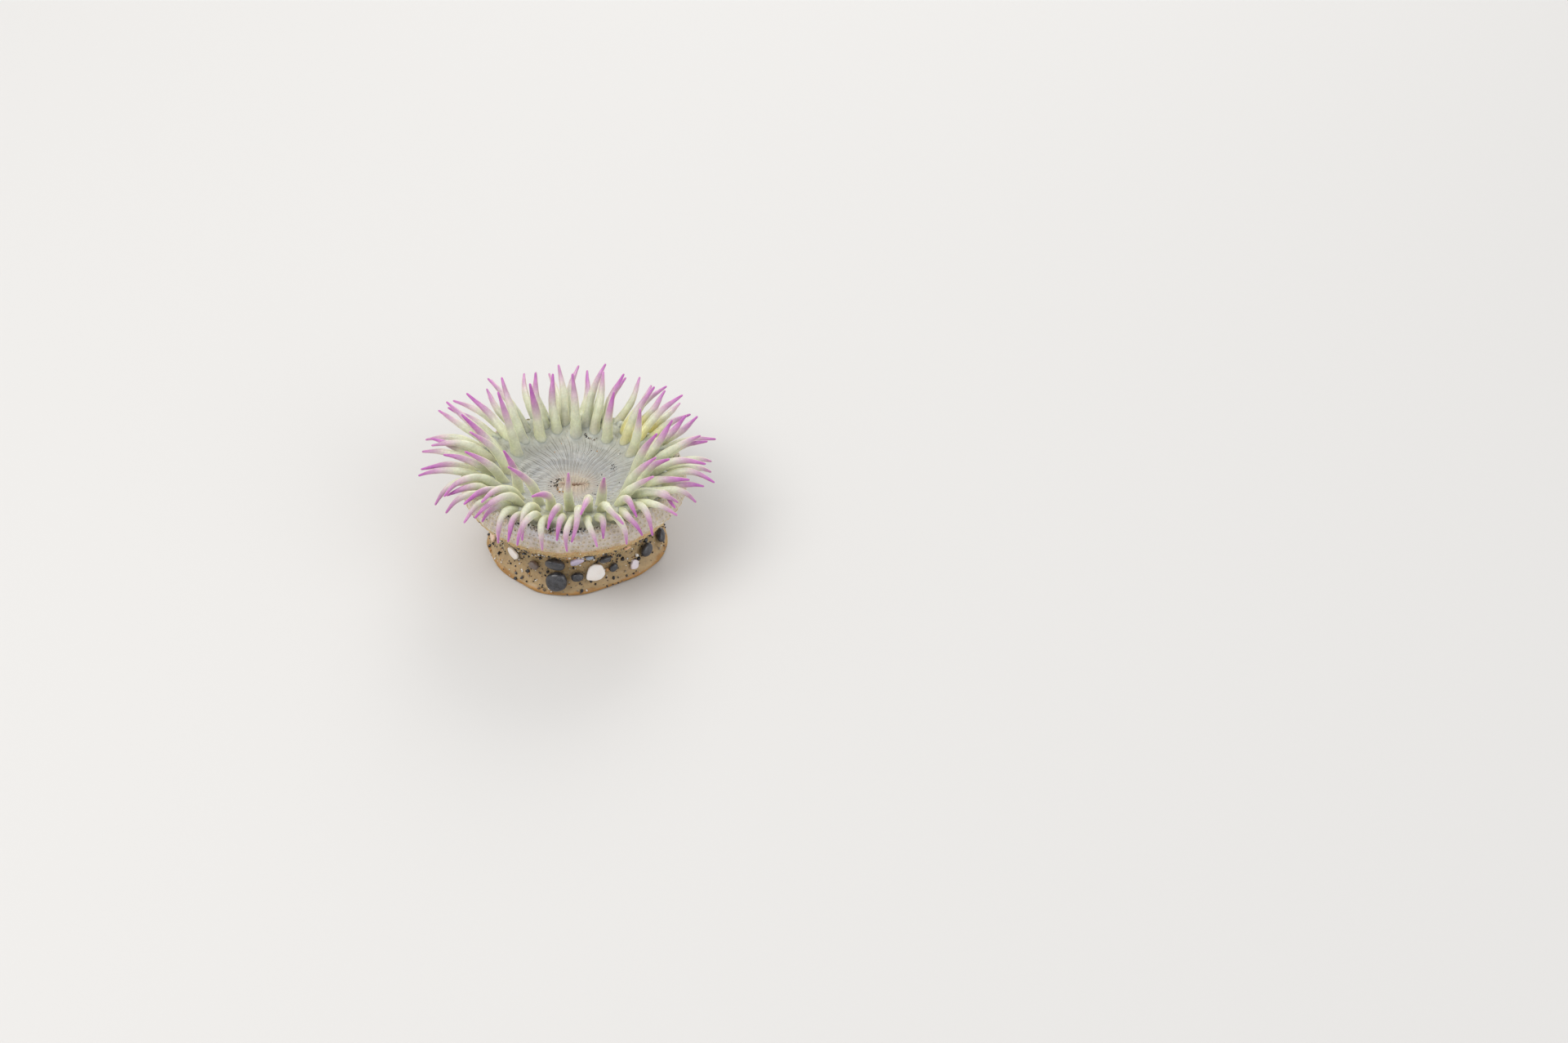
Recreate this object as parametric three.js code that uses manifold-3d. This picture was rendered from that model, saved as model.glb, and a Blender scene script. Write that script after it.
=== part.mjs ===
// A life-size still model of an aggregating sea anemone, open and spread as in a tide pool.
// Millimetres, +Z up. The origin is the middle of the pedal disc's flat underside, and the front faces -Y.
//
// Every shape is first worked out on a round, upright animal. bend() then moves the finished solids' points:
// it gives the body its slightly oval outline and lobed foot, and leans the crown so that its front stands
// higher than its back.

import * as THREE from "three";
import { mergeVertices } from "three/addons/utils/BufferGeometryUtils.js";
import Module from "manifold-3d";

const wasm = await Module();
wasm.setup();

// ---------------------------------------------------------------------------------------------------------
// Driving dimensions
// ---------------------------------------------------------------------------------------------------------

const GAP = 0.3; // between pieces that meet
const AROUND = 28; // facets round the body
const DEGREE = Math.PI / 180;

// The outside of the body as [radius, height]: foot rim, waist, bulging upper column, collar, and the groove
// between the collar and the tentacles.
const WALL = [
  [23.0, 0], [24.6, 1.4], [23.4, 3.6], [22.6, 8.0], [24.6, 12.4], [28.6, 16.2],
  [31.0, 19.0], [31.4, 21.4], [30.4, 24.0], [28.8, 25.2], [27.7, 24.4],
];
const COLLAR_TOP = 25.2;

// The face of the crown, from its outer margin down the dished oral disc, then over the lips into the throat.
const DISC = [[26.4, 26.6], [22.0, 25.4], [17.0, 23.3], [11.0, 20.9], [5.5, 19.5]];
const LIPS = [[3.4, 20.1], [1.9, 19.7], [0.9, 17.6], [0, 16.8]];

// The top of the solid column, which the crown's pieces are seated on.
const SEAT = [[0, 14.0], [14.0, 18.2], [27.0, 22.0], [31.3, 22.0]];

const PEDAL_TOP = 3.0;
const COLUMN_SPLIT = 12.4;
const MOUTH_RADIUS = 5.55;
const DISC_RADIUS = 14.75;
const CROWN_RADIUS = 27.0;

// bend(): how far the crown leans, and the size of the outline's lobes as shares of the radius.
const LEAN = 0.0045;
const OVAL = 0.02;
const TRIANGULAR = 0.012;
const FOOT_LOBES = [0.03, 0.02];
const FOOT_LOBE_HEIGHT = 8;

// Tentacles stand in four rings, 96 in all. Each pair of values is for the back and the front of the crown,
// where the tentacles are shorter, curl over the collar, and point more variously. Elevations are degrees
// above the horizontal.
const CYCLES = [
  {
    count: 12, first: 0, ring: [19.4, 17.4], base: 1.54, tip: 0.45,
    rise: [80, 78], end: [64, 52], length: [20.5, 17.5],
  },
  {
    count: 12, first: 15, ring: [20.9, 20.0], base: 1.48, tip: 0.45,
    rise: [68, 72], end: [46, 0], length: [21.5, 18],
  },
  {
    count: 24, first: 7.5, ring: [23.1, 22.9], base: 1.38, tip: 0.43,
    rise: [50, 68], end: [28, -60], length: [22, 16.5],
  },
  {
    count: 48, first: 3.75, ring: [26.0, 26.0], base: 1.22, tip: 0.41,
    rise: [24, 56], end: [8, -80], length: [20.5, 14],
  },
];
const STEPS = 20; // beads along a tentacle
const SIDES = 5; // of a tentacle's tube
const CORNER_REACH = 1.05; // of the tube's corners, in radii, so that its flats are not far inside
const ROOT_DEPTH = 0.5;
const TAPER = 1.9; // above 1 keeps a tentacle thick for longer
const RIGHT_SHORTER = 0.2; // how much shorter the tentacles on the right are
const SETTLE_ROUNDS = 110;
const CLEARANCE = 0.7; // wanted between tentacles
const WALL_CLEARANCE = 0.35; // wanted between a tentacle and the body

// The ring of tentacles is parted into sectors, with its borders where they cross the fewest tentacle bases.
const SECTORS = 8;
const SECTOR_BORDER = 9.2;

// Pebbles and bits of shell that the lower column holds. Angles are degrees from +X, heights and sizes are
// millimetres (across, up, thick), and turn is the angle of the long side.
const PEBBLES = [
  { angle: -100, height: 10.4, size: [6.1, 4.0, 2.6], turn: -12, colour: 0x26262a },
  { angle: -100, height: 4.6, size: [6.4, 5.4, 3.4], turn: 20, colour: 0x1f2126 },
  { angle: -67, height: 10.8, size: [3.8, 2.1, 1.8], turn: -5, colour: 0x1c1c20 },
  { angle: -86, height: 5.6, size: [3.6, 2.6, 2.2], turn: 5, colour: 0x202228 },
  { angle: -31, height: 6.0, size: [4.4, 3.4, 2.4], turn: 15, colour: 0x24262c },
  { angle: -10, height: 4.5, size: [4.2, 2.6, 2.2], turn: 30, colour: 0x1d1e22 },
  { angle: -117, height: 7.4, size: [3.2, 2.5, 2.0], turn: -20, colour: 0x6b5a4e },
  { angle: -60, height: 6.2, size: [2.9, 2.3, 1.8], turn: 40, colour: 0x2b2b2f },
  { angle: 28, height: 6.4, size: [4.5, 3.2, 2.3], turn: 10, colour: 0x2c2d31 },
  { angle: 74, height: 8.6, size: [3.4, 2.6, 1.9], turn: -25, colour: 0x3c3a38 },
  { angle: 128, height: 5.2, size: [5.0, 3.9, 2.6], turn: 8, colour: 0x232429 },
  { angle: 168, height: 7.8, size: [3.8, 2.8, 2.0], turn: -15, colour: 0x55493f },
];
const SHELLS = [
  { angle: -73, height: 6.0, size: [6.6, 6.0, 1.0], turn: 35, colour: 0xf4efe9 },
  { angle: -86, height: 11.4, size: [5.6, 2.8, 0.9], turn: 48, colour: 0xcfc4dc },
  { angle: -78, height: 13.6, size: [2.4, 2.2, 0.9], turn: 10, colour: 0x8fa0b4 },
  { angle: -136, height: 7.5, size: [4.8, 3.4, 1.0], turn: -10, colour: 0xf0ddc8 },
  { angle: -43, height: 3.8, size: [3.4, 3.0, 0.9], turn: 25, colour: 0xe4dfea },
  { angle: -50, height: 12.0, size: [2.3, 1.2, 0.8], turn: 8, colour: 0xe6a878 },
  { angle: 52, height: 4.8, size: [4.6, 3.4, 0.9], turn: -18, colour: 0xefe8e0 },
  { angle: 104, height: 10.2, size: [3.6, 2.6, 0.9], turn: 30, colour: 0xd9cfe0 },
  { angle: 192, height: 4.8, size: [5.0, 3.6, 1.0], turn: 12, colour: 0xefe3d4 },
];
const STUCK_GAP = 0.35;
const SHELL_CORNERS = 7;

const FLESH = {
  column: 0xc9b9a6, foot: 0xb98f5c, collar: 0xd8cbbb, disc: 0xb7afa2, lips: 0xd9b48c, tentacle: 0xc3c8b2,
};

// ---------------------------------------------------------------------------------------------------------
// Numbers and outlines
// ---------------------------------------------------------------------------------------------------------

const blend = ([from, to], share) => from + (to - from) * share;

// A repeatable value between -1 and 1 for each tentacle and each of its traits.
function variation(index, trait) {
  const turns = (index + 1) * 0.6180339887 + trait * 0.7548776662;
  return 2 * (turns - Math.floor(turns)) - 1;
}

// The value at x on a line of [x, y] points in rising order of x.
function along(points, x) {
  const next = Math.min(Math.max(points.findIndex(([px]) => px >= x), 1), points.length - 1);
  const [x0, y0] = points[next - 1];
  const [x1, y1] = points[next];
  return y0 + ((y1 - y0) * (x - x0)) / (x1 - x0);
}

const RISING_WALL = WALL.slice(0, -1).map(([radius, height]) => [height, radius]);
const wallRadius = (height) => along(RISING_WALL, height);
const discHeight = (radius) => along([...DISC].reverse(), radius);
const seatHeight = (radius) => along(SEAT, radius);

// The wall's points between two heights, with its radius at each of them.
function wallBetween(low, high) {
  const within = WALL.slice(0, -1).filter(([, height]) => height > low && height < high);
  return [[wallRadius(low), low], ...within, [wallRadius(high), high]];
}

function bend(x, y, z) {
  const angle = Math.atan2(y, x);
  const foot = Math.max(0, 1 - z / FOOT_LOBE_HEIGHT) ** 2;
  const lobes = FOOT_LOBES[0] * Math.cos(3 * angle + 0.4) + FOOT_LOBES[1] * Math.cos(5 * angle + 2);
  const scale = 1 + OVAL * Math.cos(2 * angle + 0.6) + TRIANGULAR * Math.cos(3 * angle - 1.1) + foot * lobes;
  return [x * scale, y * scale, z * (1 - LEAN * y)];
}

// ---------------------------------------------------------------------------------------------------------
// Solids
// ---------------------------------------------------------------------------------------------------------

// A closed geometry as a solid, with its faces pointing out.
function solid(geometry) {
  const bare = geometry.index ? geometry.toNonIndexed() : geometry.clone();
  bare.deleteAttribute("normal");
  bare.deleteAttribute("uv");
  const merged = mergeVertices(bare, 1e-4);
  const points = merged.attributes.position.array;
  const index = merged.index.array;
  const corners = [];
  let volume = 0;
  for (let i = 0; i < index.length; i += 3) {
    const [a, b, c] = [index[i], index[i + 1], index[i + 2]];
    if (a === b || b === c || c === a) continue;
    corners.push([a, b, c]);
    const [pa, pb, pc] = [a, b, c].map((v) => new THREE.Vector3().fromArray(points, 3 * v));
    volume += pa.dot(pb.cross(pc));
  }
  const faces = volume < 0 ? corners.map(([a, b, c]) => [a, c, b]) : corners;
  return new wasm.Manifold(new wasm.Mesh({
    numProp: 3,
    vertProperties: new Float32Array(points),
    triVerts: new Uint32Array(faces.flat()),
  }));
}

// A [radius, height] outline turned about the axis. An outline off the axis closes on itself.
function revolve(outline, segments = AROUND) {
  const closed = outline[0][0] === 0 ? outline : [...outline, outline[0]];
  const points = closed.map(([radius, height]) => new THREE.Vector2(radius, height));
  const geometry = new THREE.LatheGeometry(points, segments, (SECTOR_BORDER - 5) * DEGREE);
  return solid(geometry.rotateX(Math.PI / 2));
}

// The wedge of one sector of the crown, a half gap inside its two borders.
function wedge(sector) {
  const middle = (SECTOR_BORDER + (360 / SECTORS) * (sector + 0.5)) * DEGREE;
  const half = Math.PI / SECTORS;
  const apex = GAP / 2 / Math.sin(half);
  const reach = 2 * CROWN_RADIUS;
  const corner = (radius, angle) => new THREE.Vector2(radius * Math.cos(angle), radius * Math.sin(angle));
  const start = corner(apex, middle);
  const shape = new THREE.Shape([
    start,
    corner(reach, middle - half).add(start),
    corner(reach, middle + half).add(start),
  ]);
  return solid(new THREE.ExtrudeGeometry(shape, { depth: 2 * COLLAR_TOP, bevelEnabled: false }));
}

const numbered = (kind, number) => `${kind}_${String(number + 1).padStart(2, "0")}`;

// A solid as a named node, with its points bent into place.
function bentPiece(name, form, colour) {
  const { vertProperties, triVerts } = form.getMesh();
  const positions = new Float32Array(vertProperties.length);
  for (let i = 0; i < vertProperties.length; i += 3) {
    positions.set(bend(vertProperties[i], vertProperties[i + 1], vertProperties[i + 2]), i);
  }
  const geometry = new THREE.BufferGeometry();
  geometry.setAttribute("position", new THREE.BufferAttribute(positions, 3));
  geometry.setIndex(new THREE.BufferAttribute(new Uint32Array(triVerts), 1));
  geometry.computeVertexNormals();
  const material = new THREE.MeshStandardMaterial({ color: colour, roughness: 0.35, metalness: 0 });
  const mesh = new THREE.Mesh(geometry, material);
  mesh.name = name;
  return mesh;
}

// ---------------------------------------------------------------------------------------------------------
// The tentacles' lines
// ---------------------------------------------------------------------------------------------------------

// One tentacle as beads at equal steps. It leaves the disc at its ring's rise, and eases to its end angle.
function layTentacle(cycle, place, index) {
  const nominal = cycle.first + (360 * place) / cycle.count;
  const angle = (nominal + variation(index, 5)) * DEGREE;
  const front = (1 - Math.sin(angle)) / 2;
  const ring = blend(cycle.ring, Math.min(1 - Math.sin(angle), 1)) + 0.3 * variation(index, 6);
  const rise = (blend(cycle.rise, front ** 2) + (8 + 6 * front) * variation(index, 0)) * DEGREE;
  const end = (blend(cycle.end, front ** 1.5) + (13 + 16 * front) * variation(index, 1)) * DEGREE;
  const shortening = 1 - RIGHT_SHORTER * Math.max(Math.cos(angle), 0) ** 2;
  const length = blend(cycle.length, front) * shortening * (1 + (0.1 + 0.12 * front) * variation(index, 3));
  const spread = 10 * Math.sin(2 * angle + 0.5) + 30 * front * Math.cos(angle);
  const sweep = (spread + (15 + 18 * front) * variation(index, 2)) * DEGREE;
  const wave = (14 + 10 * front) * variation(index, 4) * DEGREE;
  const beads = [[ring * Math.cos(angle), ring * Math.sin(angle), discHeight(ring) - ROOT_DEPTH]];
  for (let step = 0; step < STEPS; step += 1) {
    const share = (step + 0.5) / STEPS;
    const elevation = rise + (end - rise) * share * share * (3 - 2 * share);
    const azimuth = angle + sweep * share + wave * Math.sin(2 * Math.PI * share);
    const stride = length / STEPS;
    const [x, y, z] = beads[step];
    beads.push([
      x + stride * Math.cos(elevation) * Math.cos(azimuth),
      y + stride * Math.cos(elevation) * Math.sin(azimuth),
      z + stride * Math.sin(elevation),
    ]);
  }
  const radii = beads.map((_, step) => cycle.base + (cycle.tip - cycle.base) * (step / STEPS) ** TAPER);
  const sector = Math.floor(((nominal - SECTOR_BORDER + 360) % 360) / (360 / SECTORS));
  return { beads, radii, sector, stride: length / STEPS };
}

// How far a bead must move to stand clear of the body, measured from the nearest point of its outline.
const OUTLINE = [[0, 0], ...WALL, ...DISC, ...LIPS];
function awayFromBody([x, y, z], radius) {
  const r = Math.hypot(x, y);
  let best = { distance: Infinity };
  let crossings = 0;
  for (let i = 1; i < OUTLINE.length; i += 1) {
    const [r0, z0] = OUTLINE[i - 1];
    const [r1, z1] = OUTLINE[i];
    const [dr, dz] = [r1 - r0, z1 - z0];
    const share = Math.min(Math.max(((r - r0) * dr + (z - z0) * dz) / (dr * dr + dz * dz), 0), 1);
    const near = [r0 + share * dr, z0 + share * dz];
    const distance = Math.hypot(r - near[0], z - near[1]);
    if (distance < best.distance) best = { distance, near };
    if (z0 > z !== z1 > z && r < r0 + ((z - z0) * dr) / dz) crossings += 1;
  }
  const side = crossings % 2 === 1 ? -1 : 1;
  const need = radius + WALL_CLEARANCE - side * best.distance;
  if (need <= 0 || best.distance < 1e-9) return [0, 0, 0];
  const outward = (need * side * (r - best.near[0])) / best.distance / r;
  return [outward * x, outward * y, (need * side * (z - best.near[1])) / best.distance];
}

// Lays all tentacles, then eases them apart and off the body, bead by bead, keeping their lengths and roots.
function settledTentacles() {
  const tentacles = [];
  for (const cycle of CYCLES) {
    for (let place = 0; place < cycle.count; place += 1) {
      tentacles.push(layTentacle(cycle, place, tentacles.length));
    }
  }
  const beads = tentacles.flatMap((tentacle, owner) =>
    tentacle.beads.map((at, step) => ({ at, owner, step, radius: tentacle.radii[step] })));

  for (let round = 0; round < SETTLE_ROUNDS; round += 1) {
    const moves = beads.map(() => [0, 0, 0]);
    for (let i = 0; i < beads.length; i += 1) {
      const a = beads[i];
      for (let j = (a.owner + 1) * (STEPS + 1); j < beads.length; j += 1) {
        const b = beads[j];
        const wanted = a.radius + b.radius + CLEARANCE;
        const dx = a.at[0] - b.at[0];
        const dy = a.at[1] - b.at[1];
        const dz = a.at[2] - b.at[2];
        const squared = dx * dx + dy * dy + dz * dz;
        if (squared >= wanted * wanted) continue;
        const distance = Math.sqrt(squared);
        const push = (0.25 * (wanted - distance)) / Math.max(distance, 1e-9);
        [dx, dy, dz].forEach((delta, axis) => {
          moves[i][axis] += push * delta;
          moves[j][axis] -= push * delta;
        });
      }
    }
    beads.forEach((bead, i) => {
      const wall = bead.step >= 5 ? awayFromBody(bead.at, bead.radius) : [0, 0, 0];
      const freedom = Math.min(Math.max((bead.step - 1) / 4, 0), 1);
      moves[i] = moves[i].map((move, axis) => freedom * (move + 0.7 * wall[axis]));
    });
    tentacles.forEach((tentacle, owner) => {
      let own = moves.slice(owner * (STEPS + 1), (owner + 1) * (STEPS + 1));
      for (let pass = 0; pass < 2; pass += 1) {
        own = own.map((move, step) => (step === 0 || step === STEPS ? move
          : move.map((value, axis) => 0.25 * own[step - 1][axis] + 0.5 * value + 0.25 * own[step + 1][axis])));
      }
      tentacle.beads.forEach((at, step) => own[step].forEach((value, axis) => { at[axis] += value; }));
      for (let step = 1; step <= STEPS; step += 1) {
        const [from, to] = [tentacle.beads[step - 1], tentacle.beads[step]];
        const reach = tentacle.stride / Math.hypot(to[0] - from[0], to[1] - from[1], to[2] - from[2]);
        for (let axis = 0; axis < 3; axis += 1) to[axis] = from[axis] + (to[axis] - from[axis]) * reach;
      }
    });
  }
  return tentacles;
}

// A tapering five-sided tube round a tentacle's beads, with a ring at each of the given steps and a flat tip.
// extra makes it that much thicker, and longer at its root.
function tube({ beads, radii }, steps, extra = 0) {
  const line = steps.map((step) => new THREE.Vector3(...beads[step]));
  line[0].addScaledVector(line[1].clone().sub(line[0]).normalize(), -extra);
  const positions = [];
  const side = new THREE.Vector3(-line[0].y, line[0].x, 0);
  const rings = line.map((centre, i) => {
    const before = line[Math.max(i - 1, 0)];
    const after = line[Math.min(i + 1, line.length - 1)];
    const ahead = after.clone().sub(before).normalize();
    side.addScaledVector(ahead, -side.dot(ahead)).normalize();
    const other = new THREE.Vector3().crossVectors(ahead, side);
    const radius = (radii[steps[i]] + extra) * CORNER_REACH;
    return Array.from({ length: SIDES }, (_, k) => {
      const turn = (2 * Math.PI * k) / SIDES;
      return centre.clone().addScaledVector(side, radius * Math.cos(turn))
        .addScaledVector(other, radius * Math.sin(turn));
    });
  });
  const [root, end] = [rings[0], rings[rings.length - 1]];
  const face = (...corners) => corners.forEach((corner) => positions.push(corner.x, corner.y, corner.z));
  for (let k = 0; k < SIDES; k += 1) {
    const next = (k + 1) % SIDES;
    for (let i = 1; i < rings.length; i += 1) {
      face(rings[i - 1][k], rings[i - 1][next], rings[i][next]);
      face(rings[i - 1][k], rings[i][next], rings[i][k]);
    }
    if (k < 2) continue;
    face(root[0], root[k], root[k - 1]);
    face(end[0], end[k - 1], end[k]);
  }
  const geometry = new THREE.BufferGeometry();
  geometry.setAttribute("position", new THREE.Float32BufferAttribute(positions, 3));
  return solid(geometry);
}

const wholeTentacle = (tentacle) => tube(tentacle, [0, 5, 10, 15, 20]);
const socket = (tentacle) => tube(tentacle, [0, 5, 8], GAP);

// ---------------------------------------------------------------------------------------------------------
// The animal's parts
// ---------------------------------------------------------------------------------------------------------

function pedalDisc() {
  return bentPiece("pedal_disc", revolve([[0, 0], ...wallBetween(0, PEDAL_TOP), [0, PEDAL_TOP]]), FLESH.foot);
}

function lowerColumn() {
  const [low, high] = [PEDAL_TOP + GAP, COLUMN_SPLIT];
  return bentPiece("column_lower", revolve([[0, low], ...wallBetween(low, high), [0, high]]), FLESH.column);
}

function upperColumn() {
  const low = COLUMN_SPLIT + GAP;
  const [axis, middle, rim, edge] = SEAT;
  const outline = [[0, low], ...wallBetween(low, edge[1]), rim, middle, axis];
  return bentPiece("column_upper", revolve(outline), FLESH.column);
}

function collar() {
  const low = SEAT[3][1] + GAP;
  const inner = CROWN_RADIUS + GAP / 2;
  const groove = WALL[WALL.length - 1];
  const outline = [[inner, low], ...wallBetween(low, COLLAR_TOP), groove, [inner, groove[1]]];
  return bentPiece("collar", revolve(outline), FLESH.collar);
}

function oralDisc() {
  const [inner, outer] = [MOUTH_RADIUS + GAP / 2, DISC_RADIUS - GAP / 2];
  const [kneeRadius, kneeHeight] = SEAT[1];
  const outline = [
    [inner, seatHeight(inner) + GAP], [kneeRadius, kneeHeight + GAP], [outer, seatHeight(outer) + GAP],
    [outer, discHeight(outer)], DISC[3], [inner, discHeight(inner)],
  ];
  return bentPiece("oral_disc", revolve(outline), FLESH.disc);
}

function mouth() {
  const outer = MOUTH_RADIUS - GAP / 2;
  const outline = [[0, SEAT[0][1] + GAP], [outer, seatHeight(outer) + GAP], [outer, discHeight(outer)], ...LIPS];
  return bentPiece("mouth", revolve(outline, AROUND / 2), FLESH.lips);
}

// One sector of the crown's rim with the tentacles that grow from it. Where a neighbour's tentacle crosses
// the border, the rim gives way to it.
function tentacleSector(sector, rim, tentacles) {
  const near = (other) => [1, SECTORS - 1].includes((other.sector - sector + SECTORS) % SECTORS);
  const own = tentacles.filter((tentacle) => tentacle.sector === sector).map(wholeTentacle);
  const foreign = tentacles.filter(near).map(socket);
  const share = rim.intersect(wedge(sector)).subtract(wasm.Manifold.union(foreign));
  return bentPiece(numbered("tentacles", sector), wasm.Manifold.union([share, ...own]), FLESH.tentacle);
}

function tentacleSectors() {
  const [inner, outer] = [DISC_RADIUS + GAP / 2, CROWN_RADIUS - GAP / 2];
  const rim = revolve([
    [inner, seatHeight(inner) + GAP], [outer, seatHeight(outer) + GAP],
    ...DISC.slice(0, 3), [inner, discHeight(inner)],
  ]);
  const tentacles = settledTentacles();
  return Array.from({ length: SECTORS }, (_, sector) => tentacleSector(sector, rim, tentacles));
}

// ---------------------------------------------------------------------------------------------------------
// What the column holds
// ---------------------------------------------------------------------------------------------------------

// Lays a piece, modelled flat in XY, against the wall: across, up, and thick along the wall's outward way.
// Then it moves in or out until its nearest point is STUCK_GAP from the wall.
function stick(geometry, { angle, height, turn }) {
  const slope = Math.atan2(wallRadius(height + 2) - wallRadius(height - 2), 4);
  geometry.rotateZ(turn * DEGREE).rotateX(Math.PI / 2 + slope).translate(0, -wallRadius(height), height);
  const points = geometry.attributes.position;
  let shift = -Infinity;
  for (let i = 0; i < points.count; i += 1) {
    const wanted = wallRadius(points.getZ(i)) + STUCK_GAP;
    const [x, y] = [points.getX(i), points.getY(i)];
    shift = Math.max(shift, Math.sqrt(Math.max(wanted * wanted - x * x, 0)) + y);
  }
  return solid(geometry.translate(0, -shift, 0).rotateZ((angle + 90) * DEGREE));
}

function pebble(piece, number) {
  const geometry = new THREE.SphereGeometry(0.5, 7, 4).rotateX(Math.PI / 2).scale(...piece.size);
  return bentPiece(numbered("pebble", number), stick(geometry, piece), piece.colour);
}

// A flat, broken bit of shell with uneven sides.
function shellBit(piece, number) {
  const [across, up, thick] = piece.size;
  const corners = Array.from({ length: SHELL_CORNERS }, (_, corner) => {
    const turn = ((corner + 0.25 * variation(number, corner)) / SHELL_CORNERS) * 2 * Math.PI;
    const reach = 0.5 - 0.06 * (1 + variation(number, corner + 7));
    return new THREE.Vector2(across * reach * Math.cos(turn), up * reach * Math.sin(turn));
  });
  const geometry = new THREE.ExtrudeGeometry(new THREE.Shape(corners), { depth: thick, bevelEnabled: false });
  geometry.translate(0, 0, -thick / 2);
  return bentPiece(numbered("shell_bit", number), stick(geometry, piece), piece.colour);
}

const anemone = new THREE.Group();
anemone.add(pedalDisc(), lowerColumn(), upperColumn(), collar(), oralDisc(), mouth());
anemone.add(...tentacleSectors());
anemone.add(...PEBBLES.map(pebble), ...SHELLS.map(shellBit));

export default anemone;
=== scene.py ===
"""The looks of a life-size still model of an aggregating sea anemone, laid out as a Blender add-on.

The animal's shapes are worked out in millimetres and written as meshes in metres. The stage and the
materials' small distances are in metres. The body, the tentacles' lines, the pebbles and the shell bits are
laid out on a round, upright animal, and bend() then gives them the oval outline, the lobed foot and the
crown's lean that the solids have. Warts, collar beads and sand grains are set on the bent skin.
"""

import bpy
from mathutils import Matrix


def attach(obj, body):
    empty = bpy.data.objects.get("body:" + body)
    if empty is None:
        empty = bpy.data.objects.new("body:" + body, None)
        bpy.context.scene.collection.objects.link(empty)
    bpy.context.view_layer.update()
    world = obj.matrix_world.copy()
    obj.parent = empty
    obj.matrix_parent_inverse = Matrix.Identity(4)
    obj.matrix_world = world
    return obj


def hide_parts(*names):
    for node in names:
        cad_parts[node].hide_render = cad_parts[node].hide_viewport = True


bl_info = {
    "name": "Aggregating sea anemone",
    "version": (1, 0, 0),
    "blender": (4, 5, 0),
    "location": "3D View > Sidebar > Anemone",
    "description": "Makes an open sea anemone with the sand, pebbles and shell it holds, and its stage",
    "category": "Object",
}

import math
from functools import lru_cache
from itertools import combinations

import bpy
import numpy as np
from bpy.props import FloatProperty, FloatVectorProperty, IntProperty, PointerProperty
from mathutils import Vector

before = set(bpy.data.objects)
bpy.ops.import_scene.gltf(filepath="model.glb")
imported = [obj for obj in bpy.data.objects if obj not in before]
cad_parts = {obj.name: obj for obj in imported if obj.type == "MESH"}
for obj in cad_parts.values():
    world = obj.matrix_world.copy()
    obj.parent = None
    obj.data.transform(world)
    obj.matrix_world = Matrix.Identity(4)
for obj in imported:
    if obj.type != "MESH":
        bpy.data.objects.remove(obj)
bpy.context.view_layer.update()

MM = 0.001
BODY = "root"
FLESH_NODES = ["pedal_disc", "column_lower", "column_upper", "collar", "oral_disc", "mouth"]
FLESH_NODES += sorted(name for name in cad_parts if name.startswith("tentacles_"))
PEBBLE_NODES = sorted(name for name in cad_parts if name.startswith("pebble_"))
SHELL_NODES = sorted(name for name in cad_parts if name.startswith("shell_bit_"))

# ---------------------------------------------------------------------------------------------------------
# The solids' driving dimensions, in millimetres
# ---------------------------------------------------------------------------------------------------------

# The outline as [radius, height]: foot rim, waist, bulging upper column, collar, groove; then the crown's
# margin and the dished oral disc; then the lips and the throat.
WALL = [
    [23.0, 0], [24.6, 1.4], [23.4, 3.6], [22.6, 8.0], [24.6, 12.4], [28.6, 16.2],
    [31.0, 19.0], [31.4, 21.4], [30.4, 24.0], [28.8, 25.2], [27.7, 24.4],
]
DISC = [[26.4, 26.6], [22.0, 25.4], [17.0, 23.3], [11.0, 20.9], [5.5, 19.5]]
LIPS = [[3.4, 20.1], [1.9, 19.7], [0.9, 17.6], [0, 16.8]]
OUTLINE = np.array([[0, 0], *WALL, *DISC, *LIPS], float)
COLLAR_POINT = 9

LEAN = 0.0045
OVAL = 0.02
TRIANGULAR = 0.012
FOOT_LOBES = (0.03, 0.02)
FOOT_LOBE_HEIGHT = 8

# Four rings of tentacles. Each pair of values is for the back and the front of the crown.
CYCLES = [
    dict(count=12, first=0, ring=(19.4, 17.4), base=1.54, tip=0.45,
         rise=(80, 78), end=(64, 52), length=(20.5, 17.5)),
    dict(count=12, first=15, ring=(20.9, 20.0), base=1.48, tip=0.45,
         rise=(68, 72), end=(46, 0), length=(21.5, 18)),
    dict(count=24, first=7.5, ring=(23.1, 22.9), base=1.38, tip=0.43,
         rise=(50, 68), end=(28, -60), length=(22, 16.5)),
    dict(count=48, first=3.75, ring=(26.0, 26.0), base=1.22, tip=0.41,
         rise=(24, 56), end=(8, -80), length=(20.5, 14)),
]
STEPS = 20
ROOT_DEPTH = 0.5
TAPER = 1.9
RIGHT_SHORTER = 0.2
SETTLE_ROUNDS = 110
CLEARANCE = 0.7
WALL_CLEARANCE = 0.35
NEAR_ROUNDS = 15  # rounds between two searches for beads that may touch
NEAR_REACH = 6.5

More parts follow.
